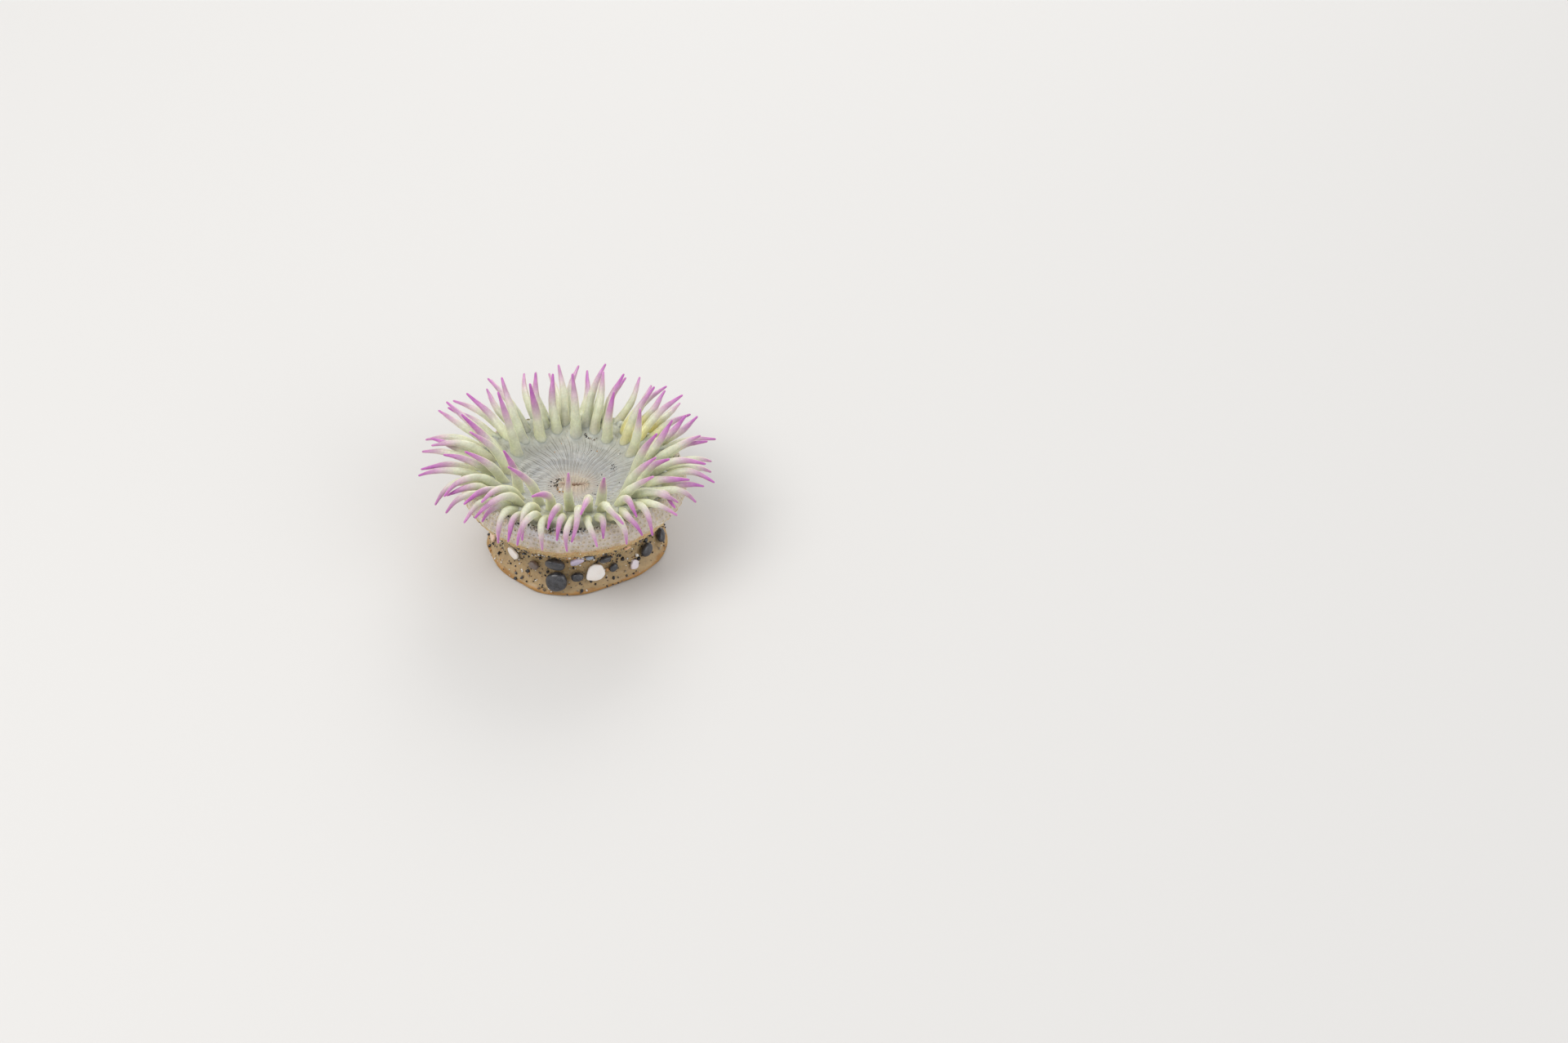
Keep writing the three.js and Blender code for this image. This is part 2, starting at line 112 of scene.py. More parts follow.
# Pebbles and shell bits on the column: angle in degrees from +X, height, size (across, up, thick), turn.
PEBBLES = [
    (-100, 10.4, (6.1, 4.0, 2.6), -12), (-100, 4.6, (6.4, 5.4, 3.4), 20), (-67, 10.8, (3.8, 2.1, 1.8), -5),
    (-86, 5.6, (3.6, 2.6, 2.2), 5), (-31, 6.0, (4.4, 3.4, 2.4), 15), (-10, 4.5, (4.2, 2.6, 2.2), 30),
    (-117, 7.4, (3.2, 2.5, 2.0), -20), (-60, 6.2, (2.9, 2.3, 1.8), 40), (28, 6.4, (4.5, 3.2, 2.3), 10),
    (74, 8.6, (3.4, 2.6, 1.9), -25), (128, 5.2, (5.0, 3.9, 2.6), 8), (168, 7.8, (3.8, 2.8, 2.0), -15),
]
SHELLS = [
    (-73, 6.0, (6.6, 6.0, 1.0), 35), (-86, 11.4, (5.6, 2.8, 0.9), 48), (-78, 13.6, (2.4, 2.2, 0.9), 10),
    (-136, 7.5, (4.8, 3.4, 1.0), -10), (-43, 3.8, (3.4, 3.0, 0.9), 25), (-50, 12.0, (2.3, 1.2, 0.8), 8),
    (52, 4.8, (4.6, 3.4, 0.9), -18), (104, 10.2, (3.6, 2.6, 0.9), 30), (192, 4.8, (5.0, 3.6, 1.0), 12),
]
SHELL_CORNERS = 7


# ---------------------------------------------------------------------------------------------------------
# What a user would change
# ---------------------------------------------------------------------------------------------------------

def colour(name, description, default):
    return FloatVectorProperty(name=name, description=description, subtype="COLOR", size=3, min=0, max=1,
                               default=default)


def length(name, description, default):
    return FloatProperty(name=name, description=description, default=default, min=0, subtype="DISTANCE")


class SkinSettings(bpy.types.PropertyGroup):
    around: IntProperty(name="Facets round", description="Facets round the body", default=300)
    rows: IntProperty(name="Rows", description="Rows of facets from foot to throat", default=156)
    sides: IntProperty(name="Tentacle sides", description="Sides of a tentacle's tube", default=12)
    rings: IntProperty(name="Tentacle rings", description="Rings along a tentacle", default=34)
    furrow: length("Disc furrows", "Depth of the oral disc's radial furrows, mm", 0.05)
    unevenness: length("Unevenness", "Height of the column's slow swellings, mm", 0.28)
    flare: FloatProperty(name="Flare", description="How much a tentacle widens into the disc", default=0.3)
    fillet: length("Root swelling", "How far the skin rises round a tentacle's root, mm", 0.75)
    disc: colour("Oral disc", "Colour of the oral disc", (0.40, 0.40, 0.36))
    line: colour("Disc lines", "Colour of the fine radial lines", (0.085, 0.07, 0.04))
    strand: colour("Mouth strands", "Colour of the radial lines beside the mouth", (0.36, 0.11, 0.03))
    mouth: colour("Mouth", "Colour of the lips", (0.44, 0.37, 0.30))
    column: colour("Column", "Colour of the bulging upper column", (0.61, 0.52, 0.45))
    amber: colour("Amber edge", "Colour of the column below the bulge", (0.55, 0.29, 0.09))
    stem: colour("Tentacle", "Colour of a tentacle's lower half", (0.59, 0.62, 0.455))
    rim: colour("Rim light", "Tint of the pale sheen along a tentacle's edges", (1.0, 1.0, 0.6))
    blush: colour("Blush", "Colour where a tentacle turns pink", (0.46, 0.27, 0.41))
    tip: colour("Tip", "Colour of a tentacle's tip", (0.40, 0.12, 0.39))


class WartSettings(bpy.types.PropertyGroup):
    spacing: length("Spacing", "Distance between warts, mm", 1.43)
    radius: length("Radius", "Radius of a wart at the top of the column, mm", 0.68)
    height: length("Height", "Height of a wart's rim over the skin, mm", 0.15)
    sides: IntProperty(name="Sides", description="Sides of a wart", default=10)
    beads: IntProperty(name="Collar beads", description="Beads in the groove behind the collar", default=48)


class GritSettings(bpy.types.PropertyGroup):
    seed: IntProperty(name="Seed", description="Seed of the grit's scatter", default=11)
    smallest: length("Smallest", "Smallest grain, mm", 0.16)
    largest: length("Largest", "Largest grain, mm", 0.42)


class StageSettings(bpy.types.PropertyGroup):
    distance: FloatProperty(name="Distance", description="Camera to subject, metres", default=1.065)
    elevation: FloatProperty(name="Elevation", description="Camera's height angle in degrees", default=42)
    lens: FloatProperty(name="Lens", description="Focal length, mm", default=85)
    left: FloatProperty(name="Left", description="How far left of the frame's middle the foot is, metres",
                        default=0.0599)
    below: FloatProperty(name="Below", description="How far below the frame's middle the foot is, metres",
                         default=0.0043)
    floor: colour("Floor", "Colour of the floor", (0.60, 0.59, 0.575))


class AnemoneSettings(bpy.types.PropertyGroup):
    skin: PointerProperty(type=SkinSettings)
    warts: PointerProperty(type=WartSettings)
    grit: PointerProperty(type=GritSettings)
    stage: PointerProperty(type=StageSettings)


# ---------------------------------------------------------------------------------------------------------
# Numbers and outlines
# ---------------------------------------------------------------------------------------------------------

def variation(index, trait):
    """A repeatable value from -1 to 1 for each index and trait: multiples of two irrational numbers, one
    for the index and one for the trait, added and wrapped."""
    turns = (np.asarray(index) + 1) * 0.6180339887 + trait * 0.7548776662
    return 2 * (turns - np.floor(turns)) - 1


def blend(pair, share):
    return pair[0] + (pair[1] - pair[0]) * share


def step_up(value, low, high):
    """0 below low, 1 above high, with a smooth cubic between."""
    share = np.clip((value - low) / (high - low), 0, 1)
    return share * share * (3 - 2 * share)


def window(value, low, high, soft):
    """1 between low and high, fading to 0 over soft on both sides."""
    return step_up(value, low - soft, low + soft) * (1 - step_up(value, high - soft, high + soft))


def spline(points, places):
    """A Catmull-Rom curve through points (..., N, D) at places counted in points from 0 to N - 1: on each
    stretch a cubic whose end slopes are half the chord between its ends' neighbours."""
    count = points.shape[-2]
    start = np.clip(np.floor(places).astype(int), 0, count - 2)
    share = (places - start)[..., None]
    pick = [np.take(points, np.clip(start + k, 0, count - 1), axis=-2) for k in (-1, 0, 1, 2)]
    before, here, after, later = pick
    return 0.5 * (2 * here + (after - before) * share
                  + (2 * before - 5 * here + 4 * after - later) * share ** 2
                  + (3 * here - before - 3 * after + later) * share ** 3)


def unit(vectors):
    return vectors / np.maximum(np.linalg.norm(vectors, axis=-1, keepdims=True), 1e-12)


def bend(points):
    """Scales x and y by 1 plus waves of two and three lobes round the axis, with waves of three and five
    lobes added near the floor. Raises each height by a share of it that grows with the distance forward."""
    x, y, z = np.moveaxis(points, -1, 0)
    angle = np.arctan2(y, x)
    foot = np.maximum(0, 1 - z / FOOT_LOBE_HEIGHT) ** 2
    lobes = FOOT_LOBES[0] * np.cos(3 * angle + 0.4) + FOOT_LOBES[1] * np.cos(5 * angle + 2)
    scale = 1 + OVAL * np.cos(2 * angle + 0.6) + TRIANGULAR * np.cos(3 * angle - 1.1) + foot * lobes
    return np.stack([x * scale, y * scale, z * (1 - LEAN * y)], -1)


def disc_height(radius):
    line = np.array(DISC[::-1])
    return np.interp(radius, line[:, 0], line[:, 1])


def wall_radius(height):
    line = np.array(WALL[:COLLAR_POINT + 1])
    return np.interp(height, line[:, 1], line[:, 0])


@lru_cache(maxsize=1)
def smooth_outline():
    """The outline as a dense smooth curve: its points, its outward normals, each point's reach, which is the
    share of the curve's length up to it, the reach of OUTLINE's own points, and the whole length."""
    places = np.linspace(0, len(OUTLINE) - 1, 60 * len(OUTLINE))
    points = np.maximum(spline(OUTLINE, places), 0)
    steps = np.linalg.norm(np.diff(points, axis=0), axis=1)
    reach = np.concatenate([[0], np.cumsum(steps)])
    slope = unit(np.gradient(points, axis=0))
    normals = np.stack([slope[:, 1], -slope[:, 0]], -1)
    at_points = np.interp(np.arange(len(OUTLINE)), places, reach / reach[-1])
    return points, normals, reach / reach[-1], at_points, reach[-1]


def reach_at(point):
    """The reach of places along OUTLINE, counted in its points, with fractions between two of them."""
    return np.interp(point, np.arange(len(OUTLINE)), smooth_outline()[3])


# Named places along the outline, counted in its points.
RIM, WAIST, LOWER, AMBER, SHOULDER, COLLAR, GROOVE = 2, 4, 5, 6, 9, 10, 11
MARGIN, DISC_OUTER, DISC_MIDDLE, DISC_INNER, MOUTH_EDGE, LIP, THROAT = 12, 13, 14, 15, 16, 17, 18.5
# The disc's points from the mouth out, with their radii, to find the point at a given radius.
DISC_POINTS = np.arange(LIP, MARGIN - 1, -1)
DISC_RADII = OUTLINE[DISC_POINTS, 0]
# Radial walls inside the animal, which show as furrows, folds and pairs of lines.
SPOKES = 48


def ripple(angle, along, seed, slowest=2):
    """A smooth uneven field from about -1 to 1: a sum of sines with whole numbers of waves round the body,
    of which the faster ones are weaker."""
    rng = np.random.default_rng(seed)
    total = 0
    for wave in range(5):
        turns = slowest + rng.integers(0, 3) + 2 * wave
        drift = rng.uniform(4, 14) * along
        total = total + np.sin(turns * angle + drift + rng.uniform(0, 2 * math.pi)) / (1 + 0.5 * wave)
    return total / 2.4


def sway(angle, radius):
    """How far the disc's radial lines stray sideways, in radians: slow sines of radius and angle."""
    free = step_up(radius, 2, 11)
    return free * (0.055 * np.sin(0.36 * radius + 2 * angle) + 0.008 * np.sin(0.9 * radius - 5 * angle + 1)
                   + 0.05 * np.sin(3 * angle + 0.12 * radius))


def relief(angle, reach):
    """Height of the skin over the smooth outline: slow swellings and faint vertical folds on the column,
    level creases round its lower part, a frilled foot, a scalloped collar, radial furrows on the disc, and
    lips folded round the mouth. Each is a wave that counts only between two places of the outline."""
    skin = bpy.context.scene.anemone.skin
    points, _, reaches, _, _ = smooth_outline()
    radius = np.interp(reach, reaches, points[:, 0])

    def between(low, high, soft):
        return window(reach, reach_at(low), reach_at(high), soft)

    swell = skin.unevenness * between(RIM, SHOULDER, 0.02) * ripple(angle, 12 * reach, 3)
    folds = 0.09 * between(RIM, GROOVE, 0.03) * np.cos(SPOKES * angle + 3 * ripple(angle, 9 * reach, 5))
    level = np.sin(240 * reach + 3 * ripple(angle, 5 * reach, 19))
    creases = 0.13 * between(RIM, AMBER + 0.4, 0.02) * level * (0.6 + 0.4 * ripple(angle, 9 * reach, 21))
    frill = 0.4 * between(RIM - 0.4, RIM + 0.6, 0.02) * ripple(angle, 20 * reach, 7, 9)
    scallop = 0.24 * between(SHOULDER + 0.3, GROOVE + 0.2, 0.012)
    scallop = scallop * np.cos(SPOKES * angle + 2 * ripple(angle, 0, 9))
    spoke = SPOKES * (angle + sway(angle, radius))
    furrow = np.cos(spoke) + 1.2 * np.cos(spoke / 4 + 1) * step_up(radius, 4, 12)
    furrow = skin.furrow * between(DISC_MIDDLE + 0.2, MOUTH_EDGE, 0.015) * furrow
    dish = 0.25 * between(MARGIN + 0.3, MOUTH_EDGE - 0.2, 0.02) * ripple(angle, 16 * reach, 13)
    lips = 0.14 * between(MOUTH_EDGE + 0.3, THROAT + 0.1, 0.012)
    lips = lips * np.cos(SPOKES / 2 * angle + 1.5 * ripple(angle, 0, 15))
    return swell + folds + creases + frill + scallop + furrow + dish + lips


def root_swelling(x, y):
    """Rise of the skin round the tentacles' roots: full out to 1.1 times a root's radius, then falling off
    as a power of e with the distance from there. Where two roots are near, the higher rise counts."""
    beads, radii, _ = lay_tentacles()
    rise = np.zeros_like(x)
    for (root_x, root_y, _), radius in zip(beads[:, 0], radii[:, 0]):
        away = np.hypot(x - root_x, y - root_y) - 1.1 * radius
        rise = np.maximum(rise, np.exp(-np.maximum(away, 0) / 0.85))
    return rise


def crown_roots(angle, reach):
    """How much of the root swelling a point of the body's skin has, which is none off the crown."""
    radius = np.interp(reach, smooth_outline()[2], smooth_outline()[0][:, 0])
    crown = window(reach, reach_at(11.6), reach_at(15.4), 0.01)
    return crown * root_swelling(radius * np.cos(angle), radius * np.sin(angle))


def upright_skin(angle, reach, roots=False):
    """A point of the skin before bend(). Over the lips the round outline is drawn out sideways and pinched
    from front to back, so that the throat is a slit."""
    points, normals, reaches, _, _ = smooth_outline()
    height = relief(angle, reach)
    radius = np.interp(reach, reaches, points[:, 0])
    if roots:
        rise = crown_roots(angle, reach)
        height = height * (1 - rise) + bpy.context.scene.anemone.skin.fillet * rise
    radius = radius + height * np.interp(reach, reaches, normals[:, 0])
    level = np.interp(reach, reaches, points[:, 1]) + height * np.interp(reach, reaches, normals[:, 1])
    radius = np.where((reach <= 0) | (reach >= 1), 0, np.maximum(radius, 0))
    pinch = step_up(reach, reach_at(16.4), reach_at(17.8))
    return np.stack([radius * np.cos(angle) * (1 + 0.5 * pinch), radius * np.sin(angle) * (1 - 0.78 * pinch),
                     np.maximum(level, 0)], -1)


def skin_point(angle, reach):
    """A point of the body's skin: the outline at that reach, moved out by the relief, turned to that angle
    and bent."""
    return bend(upright_skin(angle, reach))


def skin_frame(angle, reach):
    """A point of the skin with its sideways, uphill and outward directions, from small steps either way."""
    nudge = 2e-3
    here = skin_point(angle, reach)
    side = unit(skin_point(angle + nudge, reach) - skin_point(angle - nudge, reach))
    up = unit(skin_point(angle, reach + nudge) - skin_point(angle, reach - nudge))
    out = unit(np.cross(side, up))
    return here, side, np.cross(out, side), out


# ---------------------------------------------------------------------------------------------------------
# Meshes
# ---------------------------------------------------------------------------------------------------------

def grid_faces(rows, columns, first=0):
    """Quads between rows of points laid out row after row, whose last column joins the first."""
    across = np.arange(columns)
    start = first + columns * np.arange(rows - 1)[:, None]
    left, right = start + across, start + (across + 1) % columns
    return np.stack([left, right, right + columns, left + columns], -1).reshape(-1, 4)


def fan_faces(centre, ring, flip=False):
    """Triangles from a centre point to each side of a ring of points."""
    turned = np.roll(ring, -1)
    faces = np.stack([np.full(len(ring), centre), ring, turned], -1)
    return faces[:, ::-1] if flip else faces


def repeat_faces(faces, copies, size):
    """The same faces for each of several copies of a shape that has size points."""
    shift = size * np.arange(copies)
    return (faces[None] + shift[:, None, None]).reshape(-1, faces.shape[-1])


def closed_faces(rings, sides, copies, first=0, downward=False):
    """Faces for copies of a closed shape: rings of points, then its peak's point and its bottom's. The rings
    rise from bottom to peak, or run downward."""
    ring = np.arange(sides)
    low, high = ring, ring + (rings - 1) * sides
    wall = grid_faces(rings, sides)
    if downward:
        low, high, wall = high, low, wall[:, ::-1]
    groups = [wall, fan_faces(rings * sides, high), fan_faces(rings * sides + 1, low, True)]
    return [repeat_faces(group, copies, rings * sides + 2) + first for group in groups]


def new_piece(name, points, face_groups, values=None, maps=None, smooth=True):
    """A mesh object from points in millimetres and arrays of faces, with float values for its points and an
    optional UV map given for each face corner."""
    mesh = bpy.data.meshes.new(name)
    points = np.ascontiguousarray(points.reshape(-1, 3) * MM, np.float32)
    corners = np.concatenate([faces.ravel() for faces in face_groups]).astype(np.int32)
    sizes = np.concatenate([np.full(len(faces), faces.shape[1]) for faces in face_groups]).astype(np.int32)
    mesh.vertices.add(len(points))
    mesh.vertices.foreach_set("co", points.ravel())
    mesh.loops.add(len(corners))
    mesh.loops.foreach_set("vertex_index", corners)
    mesh.polygons.add(len(sizes))
    mesh.polygons.foreach_set("loop_start", np.concatenate([[0], np.cumsum(sizes)[:-1]]).astype(np.int32))
    mesh.polygons.foreach_set("use_smooth", np.full(len(sizes), smooth))
    for label, value in (values or {}).items():
        layer = mesh.attributes.new(label, "FLOAT", "POINT")
        layer.data.foreach_set("value", np.ascontiguousarray(value.ravel(), np.float32))
    if maps is not None:
        layer = mesh.uv_layers.new(name="OFBake")
        layer.data.foreach_set("uv", np.ascontiguousarray(maps.ravel(), np.float32))
    mesh.update(calc_edges=True)
    if mesh.validate():
        raise RuntimeError(f"{name} had faulty faces")
    piece = bpy.data.objects.new(name, mesh)
    bpy.context.scene.collection.objects.link(piece)
    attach(piece, BODY)
    return piece


# ---------------------------------------------------------------------------------------------------------
# The tentacles' lines
# ---------------------------------------------------------------------------------------------------------

def lay_tentacles():
    """Beads at equal steps along each tentacle: it leaves the disc at its ring's rise and eases to its end
    angle by a smooth cubic, while its heading sweeps sideways. Radii taper by a power of the share."""
    beads, radii, facts = [], [], []
    first_index = 0
    for number, cycle in enumerate(CYCLES):
        place = np.arange(cycle["count"])
        index = first_index + place
        first_index += cycle["count"]
        angle = np.radians(cycle["first"] + 360 * place / cycle["count"] + variation(index, 5))
        front = (1 - np.sin(angle)) / 2
        ring = blend(cycle["ring"], np.minimum(1 - np.sin(angle), 1)) + 0.3 * variation(index, 6)
        rise = np.radians(blend(cycle["rise"], front ** 2) + (8 + 6 * front) * variation(index, 0))
        end = np.radians(blend(cycle["end"], front ** 1.5) + (13 + 16 * front) * variation(index, 1))
        reach = blend(cycle["length"], front) * (1 - RIGHT_SHORTER * np.maximum(np.cos(angle), 0) ** 2)
        stride = reach * (1 + (0.1 + 0.12 * front) * variation(index, 3)) / STEPS
        spread = 10 * np.sin(2 * angle + 0.5) + 30 * front * np.cos(angle)
        sweep = np.radians(spread + (15 + 18 * front) * variation(index, 2))
        wave = np.radians((14 + 10 * front) * variation(index, 4))
        share = (np.arange(STEPS) + 0.5) / STEPS
        elevation = rise[:, None] + (end - rise)[:, None] * share * share * (3 - 2 * share)
        azimuth = angle[:, None] + sweep[:, None] * share + wave[:, None] * np.sin(2 * math.pi * share)
        ahead = np.stack([np.cos(elevation) * np.cos(azimuth), np.cos(elevation) * np.sin(azimuth),
                          np.sin(elevation)], -1)
        root = np.stack([ring * np.cos(angle), ring * np.sin(angle), disc_height(ring) - ROOT_DEPTH], -1)
        line = root[:, None] + np.cumsum(ahead * stride[:, None, None], axis=1)
        beads.append(np.concatenate([root[:, None], line], axis=1))
        taper = (np.arange(STEPS + 1) / STEPS) ** TAPER
        radii.append(np.tile(cycle["base"] + (cycle["tip"] - cycle["base"]) * taper, (len(place), 1)))
        facts.append(np.stack([index, angle, np.full(len(place), number)], -1))
    return np.concatenate(beads), np.concatenate(radii), np.concatenate(facts)


def away_from_body(points, radii):
    """How far each bead must move to stand clear of the body, from the nearest point of its outline."""
    start, end = OUTLINE[:-1], OUTLINE[1:]
    radius = np.hypot(points[..., 0], points[..., 1])
    flat = np.stack([radius, points[..., 2]], -1)[..., None, :]
    run = end - start
    share = np.clip(((flat - start) * run).sum(-1) / (run ** 2).sum(-1), 0, 1)
    near = start + share[..., None] * run
    distances = np.linalg.norm(flat - near, axis=-1)
    pick = distances.argmin(-1)[..., None]
    distance = np.take_along_axis(distances, pick, -1)[..., 0]
    nearest = np.take_along_axis(near, pick[..., None], -2)[..., 0, :]
    r, z = flat[..., 0], flat[..., 1]
    spans = (start[:, 1] > z) != (end[:, 1] > z)
    slope = run[:, 0] / np.where(run[:, 1] == 0, 1, run[:, 1])
    inside = (spans & (r < start[:, 0] + (z - start[:, 1]) * slope)).sum(-1) % 2 == 1
    side = np.where(inside, -1.0, 1.0)
    need = np.maximum(radii + WALL_CLEARANCE - side * distance, 0)
    push = (need * side / np.maximum(distance, 1e-9))[..., None] * (flat[..., 0, :] - nearest)
    outward = push[..., 0] / radius
    return np.stack([outward * points[..., 0], outward * points[..., 1], push[..., 1]], -1)


@lru_cache(maxsize=1)
def settled_tentacles():
    """Eases the laid tentacles apart and off the body, bead by bead. Each move is smoothed along its
    tentacle, roots hold still, and every step's length is restored."""
    beads, radii, facts = lay_tentacles()
    stride = np.linalg.norm(beads[:, 1] - beads[:, 0], axis=-1)[:, None]
    freedom = np.clip((np.arange(STEPS + 1) - 1) / 4, 0, 1)[None, :, None]
    owner = np.repeat(np.arange(len(beads)), STEPS + 1)
    radius = radii.ravel()
    for turn in range(SETTLE_ROUNDS):
        flat = beads.reshape(-1, 3)
        if turn % NEAR_ROUNDS == 0:
            square = (flat ** 2).sum(-1)
            apart = square[:, None] + square - 2 * flat @ flat.T
            first, second = np.nonzero(np.triu(apart < NEAR_REACH ** 2, 1))
            other = owner[first] != owner[second]
            first, second = first[other], second[other]
        gap = flat[first] - flat[second]
        distance = np.sqrt((gap ** 2).sum(-1))
        need = np.maximum(radius[first] + radius[second] + CLEARANCE - distance, 0)
        push = (0.25 * need / np.maximum(distance, 1e-9))[:, None] * gap
        moves = np.stack([np.bincount(first, side, len(flat)) - np.bincount(second, side, len(flat))
                          for side in push.T], -1).reshape(beads.shape)
        moves[:, 5:] += 0.7 * away_from_body(beads[:, 5:], radii[:, 5:])
        moves *= freedom
        for _ in range(2):
            moves[:, 1:-1] = 0.25 * moves[:, :-2] + 0.5 * moves[:, 1:-1] + 0.25 * moves[:, 2:]
        beads = beads + moves
        for step in range(1, STEPS + 1):
            ahead = beads[:, step] - beads[:, step - 1]
            length_now = np.linalg.norm(ahead, axis=-1, keepdims=True)
            beads[:, step] = beads[:, step - 1] + ahead * (stride / length_now)
    return beads, radii, facts


YELLOW_ANGLE = math.radians(44)  # where a few tentacles are yellow at their roots
BURIED = 1.3  # how far a tube reaches back past its tentacle's first bead
TIP_LENGTH = 1.9  # a tentacle's rounded end, in its own radii
EASE_ROUNDS = 8  # times each bead but the first and last is moved halfway to its neighbours' middle


def tentacle_surface(rings, sides, flare):
    """Rings of points round each tentacle's curve, its tip's point, and each ring's share of the length.

    The curve is a spline through the eased and bent beads. A ring's radius is the beads' radius, widened
    towards the root by a falling exponential, swollen a little by slow sines, thinned towards the tip, and
    closed over it as a quarter ellipse. One more ring carries the tube straight back into the body. A ring's
    sideways direction is carried from ring to ring with its turn taken out."""
    beads, radii, facts = settled_tentacles()
    index = facts[:, 0]
    for _ in range(EASE_ROUNDS):
        eased = 0.25 * beads[:, :-2] + 0.5 * beads[:, 1:-1] + 0.25 * beads[:, 2:]
        beads = np.concatenate([beads[:, :1], eased, beads[:, -1:]], axis=1)
    lines = bend(beads)
    tip_rings = 5
    share = np.linspace(0, 1, rings) ** 1.15
    centres = spline(lines, share * STEPS)
    radius = np.array([np.interp(share * STEPS, np.arange(STEPS + 1), row) for row in radii])
    run = np.concatenate([np.zeros((len(lines), 1)),
                          np.cumsum(np.linalg.norm(np.diff(centres, axis=1), axis=-1), axis=1)], axis=1)
    wave = 0.035 * np.sin(run * 0.9 + 6 * variation(index, 11)[:, None]) \
        + 0.02 * np.sin(run * 2.1 + 6 * variation(index, 12)[:, None])
    radius = radius * (1 + wave * step_up(share, 0.05, 0.3)) * (1 + flare * np.exp(-(run / 1.3) ** 1.5))
    radius = radius * (1 - 0.15 * step_up(share, 0.7, 1))
    ahead = unit(np.gradient(centres, axis=1))
    centres = np.concatenate([centres[:, :1] - BURIED * ahead[:, :1], centres], axis=1)
    radius = np.concatenate([radius[:, :1], radius], axis=1)
    ahead = np.concatenate([ahead[:, :1], ahead], axis=1)
    turn = np.linspace(0, math.pi / 2, tip_rings + 1)[1:-1]
    last, heading, size = centres[:, -1:], ahead[:, -1:], radius[:, -1:]
    tip = last + heading * (TIP_LENGTH * size * np.sin(turn))[..., None]
    centres = np.concatenate([centres, tip], axis=1)
    radius = np.concatenate([radius, size * np.cos(turn)], axis=1)
    ahead = np.concatenate([ahead, np.repeat(heading, len(turn), axis=1)], axis=1)
    point = last[:, 0] + heading[:, 0] * TIP_LENGTH * size
    total = centres.shape[1]
    side = np.stack([-lines[:, 0, 1], lines[:, 0, 0], np.zeros(len(lines))], -1)
    sideways = []
    for ring in range(total):
        side = unit(side - (side * ahead[:, ring]).sum(-1, keepdims=True) * ahead[:, ring])
        sideways.append(side)
    sideways = np.stack(sideways, axis=1)[:, :, None]
    upward = np.cross(ahead[:, :, None], sideways)
    around = 2 * math.pi * np.arange(sides)[:, None] / sides
    outward = np.cos(around) * sideways + np.sin(around) * upward
    skin = centres[:, :, None] + radius[:, :, None, None] * outward
    shares = np.concatenate([[0], share, np.ones(len(turn))])
    return skin, point, shares


# ---------------------------------------------------------------------------------------------------------
# Materials
# ---------------------------------------------------------------------------------------------------------

class Recipe:
    """A new material's nodes, added one after another. Inputs may be sockets, numbers, colours or None."""

    def __init__(self, name):
        self.material = bpy.data.materials.new(name)
        self.material.use_nodes = True
        self.tree = self.material.node_tree
        self.tree.nodes.clear()
        self.output = self.tree.nodes.new("ShaderNodeOutputMaterial")

    def add(self, kind, inputs=(), **settings):
        node = self.tree.nodes.new(kind)
        for label, value in settings.items():
            setattr(node, label, value)
        pairs = inputs.items() if isinstance(inputs, dict) else enumerate(inputs)
        for socket, value in pairs:
            if value is None:
                continue
            if isinstance(value, bpy.types.NodeSocket):
                self.tree.links.new(value, node.inputs[socket])
            else:
                node.inputs[socket].default_value = value
        return node

    def math(self, operation, *inputs, clamp=False):
        return self.add("ShaderNodeMath", inputs, operation=operation, use_clamp=clamp).outputs[0]

    def value(self, name):
        return self.add("ShaderNodeAttribute", attribute_name=name).outputs["Fac"]

    def place(self):
        return self.add("ShaderNodeTexCoord").outputs["Object"]

    def noise(self, scale, detail=2.0, place=None):
        inputs = {"Vector": place or self.place(), "Scale": scale, "Detail": detail}
        return self.add("ShaderNodeTexNoise", inputs).outputs["Fac"]

    def fade(self, value, low, high, start=0.0, end=1.0):
        """A smooth step of value from start to end."""
        return self.add("ShaderNodeMapRange", (value, low, high, start, end),
                        interpolation_type="SMOOTHSTEP").outputs[0]

    def ramp(self, value, stops, interpolation="LINEAR"):
        """A colour ramp. stops are (place, colour) in rising order."""
        node = self.add("ShaderNodeValToRGB", (value,))
        ramp = node.color_ramp
        ramp.interpolation = interpolation
        while len(ramp.elements) < len(stops):
            ramp.elements.new(1.0)
        for element, (place, _) in zip(ramp.elements, stops):
            element.position = place
        for element, (_, tint) in zip(ramp.elements, stops):
            element.color = (*tint, 1)
        return node.outputs[0]

    def mix(self, share, low, high, blend_type="MIX"):
        node = self.add("ShaderNodeMix", data_type="RGBA", blend_type=blend_type)
        for socket, value in ((0, share), (6, low), (7, high)):
            if isinstance(value, bpy.types.NodeSocket):
                self.tree.links.new(value, node.inputs[socket])
            elif socket == 0:
                node.inputs[socket].default_value = value
            else:
                node.inputs[socket].default_value = (*value, 1)
        return node.outputs[2]

    def toned(self, tint, tone):
        """The tint made darker or lighter by a tone around 1."""
        grey = self.add("ShaderNodeCombineColor", (tone, tone, tone)).outputs[0]
        return self.mix(1.0, tint, grey, "MULTIPLY")

    def bump(self, height, strength, distance):
        inputs = {"Strength": strength, "Distance": distance, "Height": height}
        return self.add("ShaderNodeBump", inputs).outputs[0]

    def finish(self, **inputs):
        named = {key.replace("_", " "): value for key, value in inputs.items()}
        shader = self.add("ShaderNodeBsdfPrincipled", named)
        self.tree.links.new(shader.outputs[0], self.output.inputs[0])
        return self.material


def shade(tint, factor):
    return tuple(min(1.0, channel * factor) for channel in tint)


